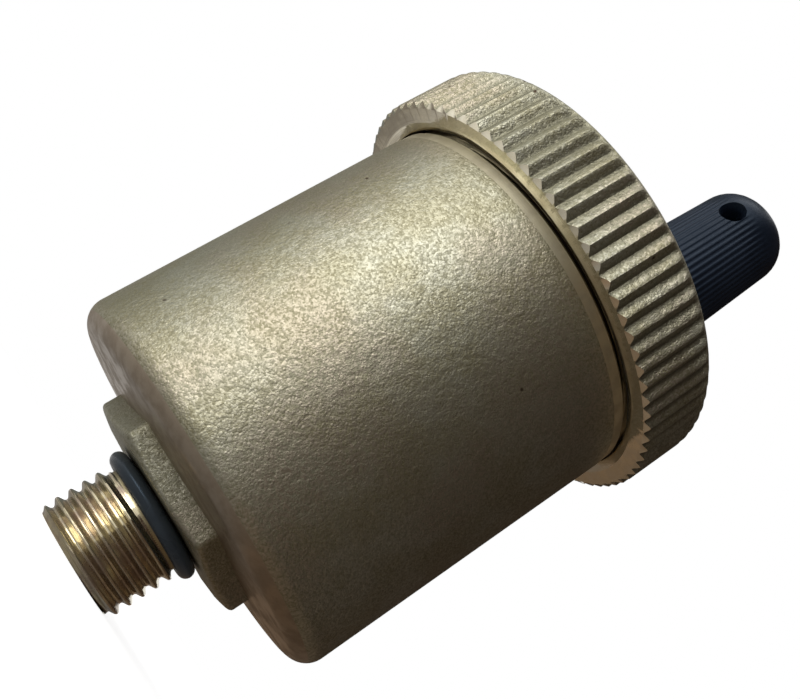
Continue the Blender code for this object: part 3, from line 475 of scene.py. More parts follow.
# %% Body outline
body_outline = [(BORE, 0.35, GOLD), (BORE + 0.35, 0.0, GOLD), (INLET_LIP, 0.0, GOLD), (INLET_CORE, 0.5, GOLD)]
body_outline += [(INLET_CORE, THREAD_END - 0.25, GOLD), (NECK, THREAD_END - 0.15, GOLD)]
body_outline += [(NECK, HEX_BOTTOM - 0.2, BROWN), (NECK + 0.2, HEX_BOTTOM, CAST)]
body_outline += [(HEX_CORE, HEX_BOTTOM + 0.1, CAST), (HEX_CORE, HEX_TOP, SKIRT)]
corner = arc((BODY_RADIUS - WALL_CORNER, WALL_FOOT + WALL_CORNER), WALL_CORNER, -90, 0, 16)
body_outline += [(r, z, SKIRT if z < SKIRT_TOP else CAST) for r, z in corner]
body_outline += [(BODY_RADIUS, HEX_TOP + z, CAST) for z in (8, 16, 24, 32)]
body_outline += [(BODY_RADIUS, WALL_TOP - 0.3, CAST), (BODY_RADIUS - 0.05, WALL_TOP, BAND)]
body_outline += [(BODY_RADIUS - 0.1, BAND_TOP - 0.25, GOLD), (BODY_RADIUS - 0.3, BAND_TOP, BROWN)]
body_outline += [(NECK_CORE, BAND_TOP, BROWN), (NECK_CORE, NECK_FOOT, GOLD)]
body_outline += [(THREAD_NECK - 0.7, RIM_TOP - 0.1, GOLD), (THREAD_NECK - 0.8, RIM_TOP, GOLD)]
body_outline += [(CHAMBER + 0.15, RIM_TOP, GOLD), (CHAMBER, RIM_TOP - 0.15, BROWN)]
corner = arc((CHAMBER - FLOOR_CORNER, FLOOR + FLOOR_CORNER), FLOOR_CORNER, 0, -90, 5)
body_outline += [(r, z, BROWN) for r, z in corner]
body_outline += [(BORE + 0.3, FLOOR, GOLD), (BORE, FLOOR - 0.3, GOLD)]
casting = lathe("body_casting", body_outline, facets=224)
for finish in (cast_skin, turned_band, turned_brown, turned_gold, skirt_brown):
    casting.data.materials.append(finish)
print("body casting", len(casting.data.polygons), "faces")

# %% [markdown]
# The spanner hexagon is cast with the body, so its edges are soft. Its outline in polar form is the flat's
# distance divided by a cosine; easing it towards the corner's radius rounds the six corners without a bevel.
# The tool that faced its underside also took a little off the corners, so the lowest rows climb where the
# radius passes the flats.


# %% Spanner hexagon
HEX_FLAT = 11.0
HEX_TURN = -7.0  # degrees
HEX_CHAMFER = 0.2
HEX_SIDES = 288


def hexagon_radius(angle, inset):
    """Distance from the axis to the hexagon's edge, with its corners rounded."""
    within = (angle - math.radians(HEX_TURN)) % (math.pi / 3) - math.pi / 6
    straight = (HEX_FLAT - inset) / math.cos(within)
    corner_limit = (HEX_FLAT - inset) / math.cos(math.pi / 6) - 0.06
    sharpness = 220.0
    return (straight**-sharpness + corner_limit**-sharpness) ** (-1.0 / sharpness)


def hexagon_row(height, size):
    """One row of corners: size is how far a side is set in, or past 4 mm the radius of a plain ring."""
    row = []
    for step in range(HEX_SIDES):
        angle = 2 * math.pi * step / HEX_SIDES
        radius, cut = size, 0.0
        if size < 4.0:
            radius = hexagon_radius(angle, size)
            if height < HEX_BOTTOM + 0.5:
                cut = HEX_CHAMFER * max(0.0, radius - HEX_FLAT + 0.2)
        row.append((radius * math.cos(angle), radius * math.sin(angle), height + cut))
    return row


def make_hexagon():
    rows = [hexagon_row(HEX_BOTTOM + 0.3, 4.7), hexagon_row(HEX_BOTTOM, 5.4)]
    edge = ((0.0, 0.5), (0.08, 0.2), (0.25, 0.04), (0.45, 0.0))
    rows += [hexagon_row(HEX_BOTTOM + above, inset) for above, inset in edge]
    rows += [hexagon_row(HEX_TOP - 0.25, 0.0), hexagon_row(HEX_TOP + 0.4, 0.0), hexagon_row(HEX_TOP + 0.4, 4.7)]
    bm = bmesh.new()
    rings = [[bm.verts.new(Vector(at) * MM) for at in row] for row in rows]
    for one, two in zip(rings, rings[1:] + rings[:1]):
        for step in range(HEX_SIDES):
            bm.faces.new((one[step - 1], one[step], two[step], two[step - 1]))
    bmesh.ops.recalc_face_normals(bm, faces=bm.faces)
    mesh = keep_mesh(bm, "spanner_hexagon")
    smooth(mesh, 40.0)
    mesh.materials.append(cast_skin)
    return new_object("spanner_hexagon", mesh)


hexagon = make_hexagon()
print("hexagon", len(hexagon.data.polygons), "faces")

# %% [markdown]
# ## Screw threads
#
# A thread could be a profile swept along a helix, but then it needs a separate core and its ends stop dead.
# Here a flat grid is wrapped instead: one direction becomes the angle, the other climbs the helix, so the
# rows of the grid run along the crests. Radius follows the phase of the thread, and both ends fade to plain
# radii as a real thread runs out. One tree serves the inlet, the body's neck and the vent spigot.


# %% Geometry Nodes helpers
def geometry_tree(name, inputs):
    tree = bpy.data.node_groups.new(name, "GeometryNodeTree")
    tree.interface.new_socket(name="Geometry", in_out="INPUT", socket_type="NodeSocketGeometry")
    for label, kind, value in inputs:
        socket = tree.interface.new_socket(name=label, in_out="INPUT", socket_type=kind)
        if value is not None:
            socket.default_value = value
    tree.interface.new_socket(name="Geometry", in_out="OUTPUT", socket_type="NodeSocketGeometry")
    return tree, tree.nodes.new("NodeGroupInput"), tree.nodes.new("NodeGroupOutput")


def finish_tree(tree, geometry, material, leave):
    """Realize, weld and paint: how every tree here ends."""
    real = tree.nodes.new("GeometryNodeRealizeInstances")
    weld = tree.nodes.new("GeometryNodeMergeByDistance")
    fill(weld, Distance=2e-6)
    paint = tree.nodes.new("GeometryNodeSetMaterial")
    link(tree, geometry, real.inputs["Geometry"])
    link(tree, real.outputs["Geometry"], weld.inputs["Geometry"])
    link(tree, weld.outputs["Geometry"], paint.inputs["Geometry"])
    link(tree, material, paint.inputs["Material"])
    link(tree, paint.outputs["Geometry"], leave.inputs["Geometry"])


def grow(obj, tree, **values):
    """Runs a tree on an object with named values and keeps the result as its plain mesh."""
    modifier = obj.modifiers.new(tree.name, "NODES")
    modifier.node_group = tree
    for item in tree.interface.items_tree:
        key = item.name.lower().replace(" ", "_")
        if item.in_out == "INPUT" and key in values:
            modifier[item.identifier] = values[key]
    mesh = keep_result(obj, modifier)
    finish = mesh.materials[-1]
    mesh.materials.clear()
    mesh.materials.append(finish)
    smooth(mesh)
    return obj


def empty_object(name):
    return new_object(name, bpy.data.meshes.new(name))


# %% Thread tree
ROWS_PER_TURN = 14.0
THREAD_SIDES = 144


def make_thread_tree():
    sizes = [("Pitch", 0.0015), ("Foot", 0.0), ("Lead In", 0.0), ("Length", 0.0078), ("Crest", 0.0066)]
    sizes += [("Root", 0.0058), ("Start Radius", 0.0059), ("End Radius", 0.0055)]
    inputs = [(label, "NodeSocketFloat", size) for label, size in sizes]
    inputs += [("Turns", "NodeSocketInt", 6), ("Centre", "NodeSocketVector", None)]
    inputs += [("Material", "NodeSocketMaterial", None)]
    tree, entry, leave = geometry_tree("helical_thread", inputs)
    give = entry.outputs

    def calc(operation, *values):
        return math_node(tree, operation, *values)

    rows = calc("ADD", calc("MULTIPLY", give["Turns"], ROWS_PER_TURN), 1.0)
    grid = node(tree, "GeometryNodeMeshGrid")
    fill(grid, Size_X=1.0, Size_Y=1.0, Vertices_X=THREAD_SIDES + 1)
    link(tree, rows, grid.inputs["Vertices Y"])
    place = node(tree, "ShaderNodeSeparateXYZ")
    link(tree, tree.nodes.new("GeometryNodeInputPosition").outputs[0], place.inputs[0])
    around = calc("ADD", place.outputs["X"], 0.5)
    climb = calc("MULTIPLY", calc("ADD", place.outputs["Y"], 0.5), give["Turns"])
    turned = calc("SUBTRACT", calc("ADD", climb, around), 1.0)
    free = calc("MULTIPLY_ADD", turned, give["Pitch"], give["Lead In"])
    height = calc("MINIMUM", calc("MAXIMUM", free, 0.0), give["Length"])
    phase = calc("FRACT", calc("ADD", climb, 0.0001))
    fall = calc("ABSOLUTE", calc("MULTIPLY_ADD", phase, 2.0, -1.0))
    ridge = calc("SUBTRACT", 1.0, fall)
    depth = calc("SUBTRACT", give["Crest"], give["Root"])
    radius = calc("MULTIPLY_ADD", remap(tree, ridge, 0.1, 0.9), depth, give["Root"])
    for end, wide in (("Start Radius", 0.0007), ("End Radius", 0.0005)):
        gone = height if end == "Start Radius" else calc("SUBTRACT", give["Length"], height)
        into = remap(tree, gone, 0.0, wide)
        mix = node(tree, "ShaderNodeMix", data_type="FLOAT")
        link(tree, into, mix.inputs[0])
        link(tree, give[end], mix.inputs[2])
        link(tree, radius, mix.inputs[3])
        radius = mix.outputs[0]
    angle = calc("MULTIPLY", around, 2 * math.pi)
    at = node(tree, "ShaderNodeCombineXYZ")
    link(tree, calc("MULTIPLY", radius, calc("COSINE", angle)), at.inputs["X"])
    link(tree, calc("MULTIPLY", radius, calc("SINE", angle)), at.inputs["Y"])
    link(tree, calc("ADD", height, give["Foot"]), at.inputs["Z"])
    moved = node(tree, "ShaderNodeVectorMath", operation="ADD")
    link(tree, at.outputs[0], moved.inputs[0])
    link(tree, give["Centre"], moved.inputs[1])
    lay = tree.nodes.new("GeometryNodeSetPosition")
    link(tree, grid.outputs["Mesh"], lay.inputs["Geometry"])
    link(tree, moved.outputs[0], lay.inputs["Position"])
    finish_tree(tree, lay.outputs["Geometry"], give["Material"], leave)
    return tree


thread_tree = make_thread_tree()
print("tree", thread_tree.name, len(thread_tree.nodes), "nodes")

# %% [markdown]
# The inlet's thread is read from the photograph, where the crests are 1.5 mm apart, and so is the run-out at
# its mouth. The neck's thread hides under the cover, and the spigot's, further down, under the cap.


# %% Cut the threads
def face_out(obj, centre=(0.0, 0.0)):
    """Turns an open sleeve's faces so that they look away from its axis."""
    bm = bmesh.new()
    bm.from_mesh(obj.data)
    bmesh.ops.dissolve_degenerate(bm, edges=bm.edges, dist=1e-7)
    bmesh.ops.recalc_face_normals(bm, faces=bm.faces)
    outward = 0.0
    for face in bm.faces:
        middle = face.calc_center_median()
        away = Vector((middle.x - centre[0] * MM, middle.y - centre[1] * MM, 0.0))
        outward += face.normal.dot(away) * face.calc_area()
    if outward < 0:
        bmesh.ops.reverse_faces(bm, faces=bm.faces)
    bm.to_mesh(obj.data)
    bm.free()
    smooth(obj.data, 28.0)


def cut_thread(name, finish, turns, centre=(0.0, 0.0), **sizes):
    """Makes one thread; the sizes, in millimetres, go by the names of the tree's inputs."""
    metres = {label: size * MM for label, size in sizes.items()}
    place = (centre[0] * MM, centre[1] * MM, 0.0)
    obj = grow(empty_object(name), thread_tree, turns=turns, centre=place, material=finish, **metres)
    face_out(obj, centre)
    print(name, len(obj.data.polygons), "faces")
    return obj


inlet_thread = cut_thread(
    "inlet_thread", thread_brass, turns=7, pitch=1.5, foot=0.0, lead_in=0.35, length=THREAD_END - 0.05,
    crest=THREAD_CREST, root=THREAD_ROOT, start_radius=5.95, end_radius=NECK,
)
neck_thread = cut_thread(
    "neck_thread", turned_gold, turns=5, pitch=1.5, foot=NECK_FOOT, lead_in=0.0, length=RIM_TOP - NECK_FOOT,
    crest=THREAD_NECK, root=THREAD_NECK - 0.6, start_radius=NECK_CORE, end_radius=THREAD_NECK - 0.8,
)

# %% [markdown]
# ## The toothed cover
#
# Eighty teeth round the rim are eighty copies of one. So only a wedge of the rim is modelled, one tooth wide,
# and a tree sets it round the axis and welds the seams. The wedge carries its own `valley` value for the
# finish. The same tree makes the bright underside, whose edge is serrated by the teeth, and the cap's ribs.


# %% Ring of copies tree
def make_ring_tree():
    inputs = [("Count", "NodeSocketInt", 80), ("Centre", "NodeSocketVector", None)]
    inputs += [("Material", "NodeSocketMaterial", None)]
    tree, entry, leave = geometry_tree("ring_of_copies", inputs)
    points = tree.nodes.new("GeometryNodePoints")
    link(tree, entry.outputs["Count"], points.inputs["Count"])
    link(tree, entry.outputs["Centre"], points.inputs["Position"])
    index = tree.nodes.new("GeometryNodeInputIndex").outputs[0]
    step = math_node(tree, "DIVIDE", 2 * math.pi, entry.outputs["Count"])
    turn = node(tree, "ShaderNodeCombineXYZ")
    link(tree, math_node(tree, "MULTIPLY", index, step), turn.inputs["Z"])
    copies = tree.nodes.new("GeometryNodeInstanceOnPoints")
    link(tree, points.outputs[0], copies.inputs["Points"])
    link(tree, entry.outputs["Geometry"], copies.inputs["Instance"])
    link(tree, turn.outputs[0], copies.inputs["Rotation"])
    finish_tree(tree, copies.outputs["Instances"], entry.outputs["Material"], leave)
    return tree


ring_tree = make_ring_tree()
print("tree", ring_tree.name, len(ring_tree.nodes), "nodes")

# %% [markdown]
# A wedge is a profile, like the lathe's, drawn twice at once: along the crest of a tooth and along its root.
# The section then says, across the wedge, how far each point lies between the two. Where the crest has a
# height of its own, the edge goes up and down from tooth to tooth, as a chamfer leaves it.


# %% Wedge helper
def wedge(name, profile, section, count):
    """Profile of (crest, root, height[, height on the crest]) rows, section of (share of the wedge, rise)."""
    bm = bmesh.new()
    valley = bm.verts.layers.float.new("valley")
    rows = []
    for crest, root, height, *lifted in profile:
        if crest <= 0.0:
            rows.append([bm.verts.new((0.0, 0.0, height * MM))])
            continue
        row = []
        for share, rise in section:
            angle = 2 * math.pi * share / count
            radius = root + (crest - root) * rise
            level = height + (lifted[0] - height) * rise if lifted else height
            vert = bm.verts.new(Vector((radius * math.cos(angle), radius * math.sin(angle), level)) * MM)
            vert[valley] = (1.0 - rise) * min(1.0, (crest - root) / 0.3)
            row.append(vert)
        rows.append(row)
    for here, there in zip(rows, rows[1:]):
        for k in range(len(section) - 1):
            corners = [here[min(k, len(here) - 1)], here[min(k + 1, len(here) - 1)]]
            corners += [there[min(k + 1, len(there) - 1)], there[min(k, len(there) - 1)]]
            bm.faces.new(list(dict.fromkeys(corners)))
    return new_object(name, keep_mesh(bm, name))


def set_round(obj, count, finish, centre=(0.0, 0.0, 0.0)):
    """Sets a wedge round its centre, in millimetres, and makes the faces look outwards."""
    grow(obj, ring_tree, count=count, centre=Vector(centre) * MM, material=finish)
    bm = bmesh.new()
    bm.from_mesh(obj.data)
    bmesh.ops.recalc_face_normals(bm, faces=bm.faces)
    bm.to_mesh(obj.data)
    bm.free()
    smooth(obj.data)
    print(obj.name, count, "copies,", len(obj.data.polygons), "faces")
    return obj


# %% [markdown]
# The teeth are shallow, with rounded crests: a mix of a cosine and a tent, where the tent keeps the grooves
# narrow. They fade out over the rounded top edge, which the tool that cut them left alone. The rim and the
# underside share their last row, so that the chamfered edge is one line for both.

# %% Tooth section
TOOTH_COUNT = 80
TOOTH_DEPTH = 0.55
TOOTH_CHAMFER = 0.4
TOOTH_STEPS = 16
TOOTH_WAVE = 0.6  # how much of the section is cosine; the rest is tent
TOOTH_TURN = 0.015
TOOTH = []
for step in range(TOOTH_STEPS + 1):
    share = step / TOOTH_STEPS - 0.5
    wave = 0.5 + 0.5 * math.cos(2 * math.pi * share)
    tent = 1.0 - 2.0 * abs(share)
    TOOTH.append((share + TOOTH_TURN, TOOTH_WAVE * wave + (1.0 - TOOTH_WAVE) * tent))
print("tooth width in mm", round(2 * math.pi * COVER_RADIUS / TOOTH_COUNT, 2))

# %% Toothed rim and underside
EDGE_ROUND = 2.5
EDGE_STEP = 5.0  # degrees
TEETH_FADE, TEETH_GONE = 18.0, 50.0  # degrees along the rounded edge
ROOT = COVER_RADIUS - TOOTH_DEPTH
UNDER_EDGE = COVER_RADIUS - 2.3
MOUTH = COVER_RADIUS - 3.3
MOUTH_FOOT = COVER_BOTTOM + 0.35

toothed_edge = (COVER_RADIUS, ROOT, COVER_BOTTOM, COVER_BOTTOM + TOOTH_CHAMFER)
rim_profile = [toothed_edge] + [(COVER_RADIUS, ROOT, COVER_BOTTOM + z) for z in (1.4, 2.8, 4.2, 5.6)]
rounded = arc((COVER_RADIUS - EDGE_ROUND, COVER_TOP - EDGE_ROUND), EDGE_ROUND, 0, 90, round(90 / EDGE_STEP))
for step, (radius, height) in enumerate(rounded):
    fade = min(1.0, max(0.0, (TEETH_GONE - EDGE_STEP * step) / (TEETH_GONE - TEETH_FADE)))
    rim_profile.append((radius, radius - TOOTH_DEPTH * fade * fade * (3 - 2 * fade), height))
rim = set_round(wedge("cover_teeth", rim_profile, TOOTH, TOOTH_COUNT), TOOTH_COUNT, tooth_skin)

under_profile = [(MOUTH, MOUTH, MOUTH_FOOT), (UNDER_EDGE, UNDER_EDGE, COVER_BOTTOM)]
under_profile += [(ROOT - 0.1, ROOT - 0.1, COVER_BOTTOM), toothed_edge]
underside = set_round(wedge("cover_underside", under_profile, TOOTH, TOOTH_COUNT), TOOTH_COUNT, turned_face)
smooth(underside.data, 12.0)

# %% [markdown]
# The plate closes the rim at the top and carries the bore for the body's neck. The vent spigot stands off
# centre on it, turned about its own axis. The passage under it, through the plate, is cut with a Boolean,
# because no outline about the plate's axis can hold a hole beside the centre.


# %% Boolean helper
def carve(obj, cutter):
    """Cuts one object out of another and throws the cutter away."""
    modifier = obj.modifiers.new("carve", "BOOLEAN")
    modifier.operation = "DIFFERENCE"
    modifier.solver = "EXACT"
    modifier.object = cutter
    mesh = keep_result(obj, modifier)
    bpy.data.objects.remove(cutter, do_unlink=True)
    smooth(mesh)
    return obj


# %% Plate
CEILING = COVER_TOP - 3.4
COVER_BORE = THREAD_NECK + 0.3
PLATE_RIM = 23.4
PASSAGE = 2.25
OUTSIDE, INSIDE = 0, 1
plate_outline = [(0.0, COVER_TOP, OUTSIDE)]
plate_outline += [(r, COVER_TOP, OUTSIDE) for r in (6.0, 12.0, 18.0, 21.0, COVER_RADIUS - EDGE_ROUND)]
plate_outline += [(PLATE_RIM, COVER_TOP - 1.6, OUTSIDE), (PLATE_RIM, COVER_BOTTOM + 0.6, INSIDE)]
plate_outline += [(MOUTH, MOUTH_FOOT, INSIDE), (MOUTH, COVER_BOTTOM + 0.8, INSIDE)]
plate_outline += [(COVER_BORE, COVER_BOTTOM + 1.2, INSIDE), (COVER_BORE, CEILING - 1.5, INSIDE)]
plate_outline += [(COVER_BORE - 0.35, CEILING, INSIDE), (10.0, CEILING, INSIDE), (0.0, CEILING, INSIDE)]
plate = lathe("cover_plate", plate_outline, facets=160, closed=False)
# The cover's inside gets the painted-shade brown.
for finish in (cast_skin, turned_brown):
    plate.data.materials.append(finish)
passage_outline = [(0, CEILING - 1), (PASSAGE, CEILING - 1), (PASSAGE, COVER_TOP + 1), (0, COVER_TOP + 1)]
carve(plate, lathe("passage", passage_outline, 64, VENT, closed=False))
print("plate", len(plate.data.polygons), "faces")

# %% Spigot
SPIGOT_TOP = COVER_TOP + 8.4
SPIGOT_BORE = 1.5
SPIGOT_CORE = 3.2
spigot_outline = [(SPIGOT_BORE, COVER_TOP - 0.4), (5.2, COVER_TOP - 0.4)]
spigot_outline += arc((4.8, COVER_TOP + 0.8), 0.8, 270, 180, 6)
spigot_outline += [(SPIGOT_CORE, COVER_TOP + 1.4), (SPIGOT_CORE, SPIGOT_TOP - 0.5), (3.5, SPIGOT_TOP)]
spigot_outline += [(1.8, SPIGOT_TOP), (SPIGOT_BORE, SPIGOT_TOP - 0.3)]
spigot = lathe("vent_spigot", spigot_outline, 96, VENT)
spigot.data.materials.append(vent_brass)
spigot_thread = cut_thread(
    "spigot_thread", vent_brass, turns=8, centre=VENT, pitch=1.25, foot=COVER_TOP + 1.2, lead_in=0.0,
    length=7.2, crest=4.0, root=3.45, start_radius=3.95, end_radius=3.5,
)
print("spigot", len(spigot.data.polygons), "faces")

# %% [markdown]
# ## The vent cap
#
# The cap is moulded plastic with fine ribs for the fingers, which run out into a smooth dome. Again one rib's
# wedge is enough. Its profile runs from the roof of the hollow inside, down and round the foot and up to the
# dome's pole, so the welded ring is a closed shell. The vent hole in its side is then drilled with the Boolean,
# by a cutter that widens outwards, because the hole's edge is dished.

# %% Ribbed cap
RIBS = 56
RIB_DEPTH = 0.085
CAP_HEIGHT = cap_high.z - CAP_BASE - 0.15
DOME = 3.85
SHOULDER = CAP_HEIGHT - DOME
TIP_RADIUS = 5.55
SOCKET = 4.3
SOCKET_TOP = 9.7
ROOF = CAP_HEIGHT - 3.0


def cap_radius(height):
    return CAP_RADIUS + (TIP_RADIUS - CAP_RADIUS) * height / SHOULDER


RIB = [(-0.5, 0.0), (-0.36, 0.0), (-0.26, 0.35), (-0.18, 0.82), (-0.08, 0.98), (0.0, 1.0)]
RIB += [(-share, rise) for share, rise in reversed(RIB[:-1])]
smooth_part = [(0.0, ROOF), (3.0, ROOF), (3.0, SOCKET_TOP), (SOCKET, SOCKET_TOP), (SOCKET, 1.2)]
smooth_part += [(5.1, 0.4), (5.1, 0.0), (CAP_RADIUS - 0.2, 0.0), (CAP_RADIUS - 0.02, 0.2)]
cap_profile = [(radius, radius, height) for radius, height in smooth_part]
ribbed_part = [(1.15, 0.0), (1.5, 1.0), (4.0, 1.0), (8.0, 1.0), (12.0, 1.0), (14.2, 1.0)]
ribbed_part += [(15.0, 0.7), (15.8, 0.25), (SHOULDER, 0.0)]
for height, fade in ribbed_part:
    cap_profile.append((cap_radius(height), cap_radius(height) - RIB_DEPTH * fade, height))
for step in range(1, 12):
    angle = math.pi / 2 * step / 12
    radius = TIP_RADIUS * math.cos(angle) ** 0.68
    cap_profile.append((radius, radius, SHOULDER + DOME * math.sin(angle)))
cap_profile.append((0.0, 0.0, CAP_HEIGHT))
cap = set_round(wedge("ribbed_cap", cap_profile, RIB, RIBS), RIBS, cap_plastic, (*VENT, CAP_BASE))

# %% Drill the cap
HOLE_HEIGHT = cap_high.z - 5.4
HOLE_HEADING = math.radians(-124.0)
HOLE_RADIUS = 1.12
drill_outline = [(0, 0), (HOLE_RADIUS, 0), (HOLE_RADIUS, 4.5), (1.3, 5.0), (1.75, 5.9), (2.4, 8.0), (0, 8.0)]
drill = lathe("drill", drill_outline, 64, closed=False)
along = Matrix.Rotation(HOLE_HEADING, 4, "Z") @ Matrix.Rotation(math.radians(90.0), 4, "Y")
drill.data.transform(Matrix.Translation(Vector((*VENT, HOLE_HEIGHT)) * MM) @ along)
carve(cap, drill)
print("cap drilled", len(cap.data.polygons), "faces")

# %% [markdown]
# ## The inlet's O-ring
#
# An O-ring is moulded in two halves, which leaves a hair-thin parting line round its middle. Seen close, that
# line is what tells rubber from a painted ring, so the section gets two tiny steps. It is a little thinner
# than its CAD node, as a ring is that has been stretched over a neck.

# %% O-ring
SECTION = 0.5 * (oring_high.z - oring_low.z) - 0.12
RING_RADIUS = oring_high.x - SECTION - 0.16
RING_MIDDLE = 0.5 * (oring_high.z + oring_low.z)
PARTING = 0.012
section = []
for step in range(40):
    angle = 2 * math.pi * (step + 0.5) / 40
    swell = PARTING if abs(math.sin(angle)) < 0.12 else 0.0
    size = SECTION - PARTING + swell
    section.append((RING_RADIUS + size * math.cos(angle), RING_MIDDLE + size * math.sin(angle)))
oring = lathe("oring_moulded", section, 144)
oring.data.materials.append(rubber)
print("O-ring", len(oring.data.polygons), "faces")

# %% [markdown]
# ## Riding on the CAD bodies
#
# Each visual piece stands for a CAD node and moves with that node's body, so the cover can be unscrewed and
# the cap lifted.

# %% Ride and replace
dressed = [
    ("body", "body_shell", "brass_cast", (casting, hexagon)),
    ("body", "body_shell", "brass_turned", (inlet_thread, neck_thread)),
    ("body", "inlet_oring", "rubber_black", (oring,)),
    ("cover", "cover_ring", "brass_cast", (rim, plate)),
    ("cover", "cover_ring", "brass_turned", (underside, spigot, spigot_thread)),
    ("cap", "vent_cap", "plastic_black", (cap,)),
]
for body, cad_node, slot, pieces in dressed:
    for piece in pieces:
        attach(piece, body)
        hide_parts(cad_node)
print("dressed", sum(len(pieces) for *_, pieces in dressed), "pieces")

# %% [markdown]
# The mechanism inside the chamber keeps its CAD shapes, and only gets finishes on its material slots.

# %% Paint the mechanism
paint = {
    rubber: ("cover_gasket", "nozzle_oring", "seal_pad", "cap_washer"),
    vent_brass: ("vent_nozzle", "seal_holder"),
    steel: ("lever_bracket", "bracket_screw_left", "bracket_screw_right", "lever_pin", "pin_clip")
    + ("float_yoke", "yoke_pin"),
    float_plastic: ("float_cup", "float_lid"),
    lever_plastic: ("float_lever",),
}
for finish, names in paint.items():
    for name in names:
        slots = nodes[name].data.materials
        if slots:
            slots[0] = finish
        else:
            slots.append(finish)
print("painted", sum(len(names) for names in paint.values()), "CAD nodes")

# %% [markdown]
# ## Camera
#
# The photograph was taken close to the object, so its perspective is strong, and the camera was rolled: the
# valve's axis runs to the upper right. The numbers come from fitting the valve's outline to the picture. The
# image's right and up directions are mixes of "along the valve" and "across it".

# %% Camera
TILT, PAN, LEAN, ROLL = 0.317, -0.011, -0.003, (0.8545, 0.5195)
SENSOR = 36.0
FOCAL_PIXELS, PICTURE_WIDTH = 1028.56, 800.0
CAMERA_AT = (0.0, -0.10965, 0.005)
forward = Vector((math.cos(TILT) * math.sin(PAN), math.cos(TILT) * math.cos(PAN), math.sin(TILT)))
side = forward.cross(Vector((0, 0, 1))).normalized()
rise = side.cross(forward)
along_valve = -math.sin(LEAN) * side + math.cos(LEAN) * rise
across_valve = math.cos(LEAN) * side + math.sin(LEAN) * rise
right = ROLL[0] * along_valve + ROLL[1] * across_valve
up = ROLL[1] * along_valve - ROLL[0] * across_valve
lens = bpy.data.cameras.new("camera")
lens.sensor_fit = "HORIZONTAL"
lens.sensor_width = SENSOR
lens.lens = SENSOR * FOCAL_PIXELS / PICTURE_WIDTH
lens.clip_start = 0.005
camera = bpy.data.objects.new("camera", lens)
place = Matrix((right, up, -forward)).transposed().to_4x4()
place.translation = CAMERA_AT
camera.matrix_world = place
bpy.context.scene.collection.objects.link(camera)
bpy.context.scene.camera = camera
print("lens", round(lens.lens, 2), "mm")

# %% [markdown]
# ## Studio
#
# A pale floor, a white surround and two soft lamps. Metal shows what stands round it, so the floor counts
# twice. To the camera it is one even white. To a mirror it is bright on the left and dark on the right, and
# behind the valve it is dark but for a bright strip on the left and a faint one on the right, which light the
# far half of the cover's underside. All of this goes by the floor's own X and Y.


# %% Floor
def make_floor_material():
    material, tree, shader = plain_material("pale_floor")
    fill(shader, Roughness=0.9)
    path = tree.nodes.new("ShaderNodeLightPath")
    place = tree.nodes.new("ShaderNodeSeparateXYZ")
    link(tree, tree.nodes.new("ShaderNodeTexCoord").outputs["Object"], place.inputs[0])
    glossy = path.outputs["Is Glossy Ray"]

    def times(first, second):
        return math_node(tree, "MULTIPLY", first, second)

    def along_x(*ramp):
        return remap(tree, place.outputs["X"], *ramp)

    near_side = along_x(-0.16, 0.04, 1.0, 0.1)
    far_side = times(along_x(-0.022, -0.002, 1.0, 0.08), along_x(-0.05, -0.026, 0.12, 1.0))
    behind = remap(tree, place.outputs["Y"], 0.03, 0.06)
    mix = node(tree, "ShaderNodeMix", data_type="FLOAT")
    for socket, value in ((mix.inputs[0], behind), (mix.inputs[2], near_side), (mix.inputs[3], far_side)):
        link(tree, value, socket)
    side = mix.outputs[0]
    strip = times(times(behind, along_x(0.014, 0.024, 0.0, 0.35)), along_x(0.034, 0.044, 1.0, 0.1))
    # To mirrors the floor turns orange right of the valve: a painted warm reflection.
    warm = times(glossy, along_x(0.004, 0.016))
    link(tree, blend_colour(tree, warm, (1.0, 1.0, 1.0), (1.0, 0.64, 0.36)), shader.inputs["Emission Color"])
    mirrored = math_node(tree, "MAXIMUM", glossy, path.outputs["Is Transmission Ray"])
    mirrored = times(mirrored, math_node(tree, "MAXIMUM", side, strip))
    seen = math_node(tree, "MAXIMUM", path.outputs["Is Camera Ray"], mirrored)
    link(tree, times(seen, 0.86), shader.inputs["Emission Strength"])
    shaded = times(glossy, math_node(tree, "MAXIMUM", math_node(tree, "SUBTRACT", 1.0, side), behind))
    link(tree, blend_colour(tree, shaded, (0.6, 0.6, 0.6), (0.1, 0.07, 0.05)), shader.inputs["Base Color"])
    return material


def make_floor(size):
    bm = bmesh.new()
    bmesh.ops.create_grid(bm, x_segments=1, y_segments=1, size=size / 2)
    mesh = keep_mesh(bm, "floor")
    mesh.materials.append(make_floor_material())
    floor = new_object("floor", mesh)
    return floor


print("floor", make_floor(6.0).name)

# %% [markdown]
# Photographers of brass put dark cards round it, so that it has a deep side without losing the white ground.
# Here one dark, warm card stands on the right and behind, and a grey one at the far left. They show only in
# reflections. The world is white to the camera and to mirrors, and dim for everything else, so that a colour
# renders about as it is written.


# %% Cards
CARD_RADIUS = 0.5
CARD_TOP = 84.0  # degrees above the floor
CARD_ROWS, CARD_COLUMNS = 12, 32


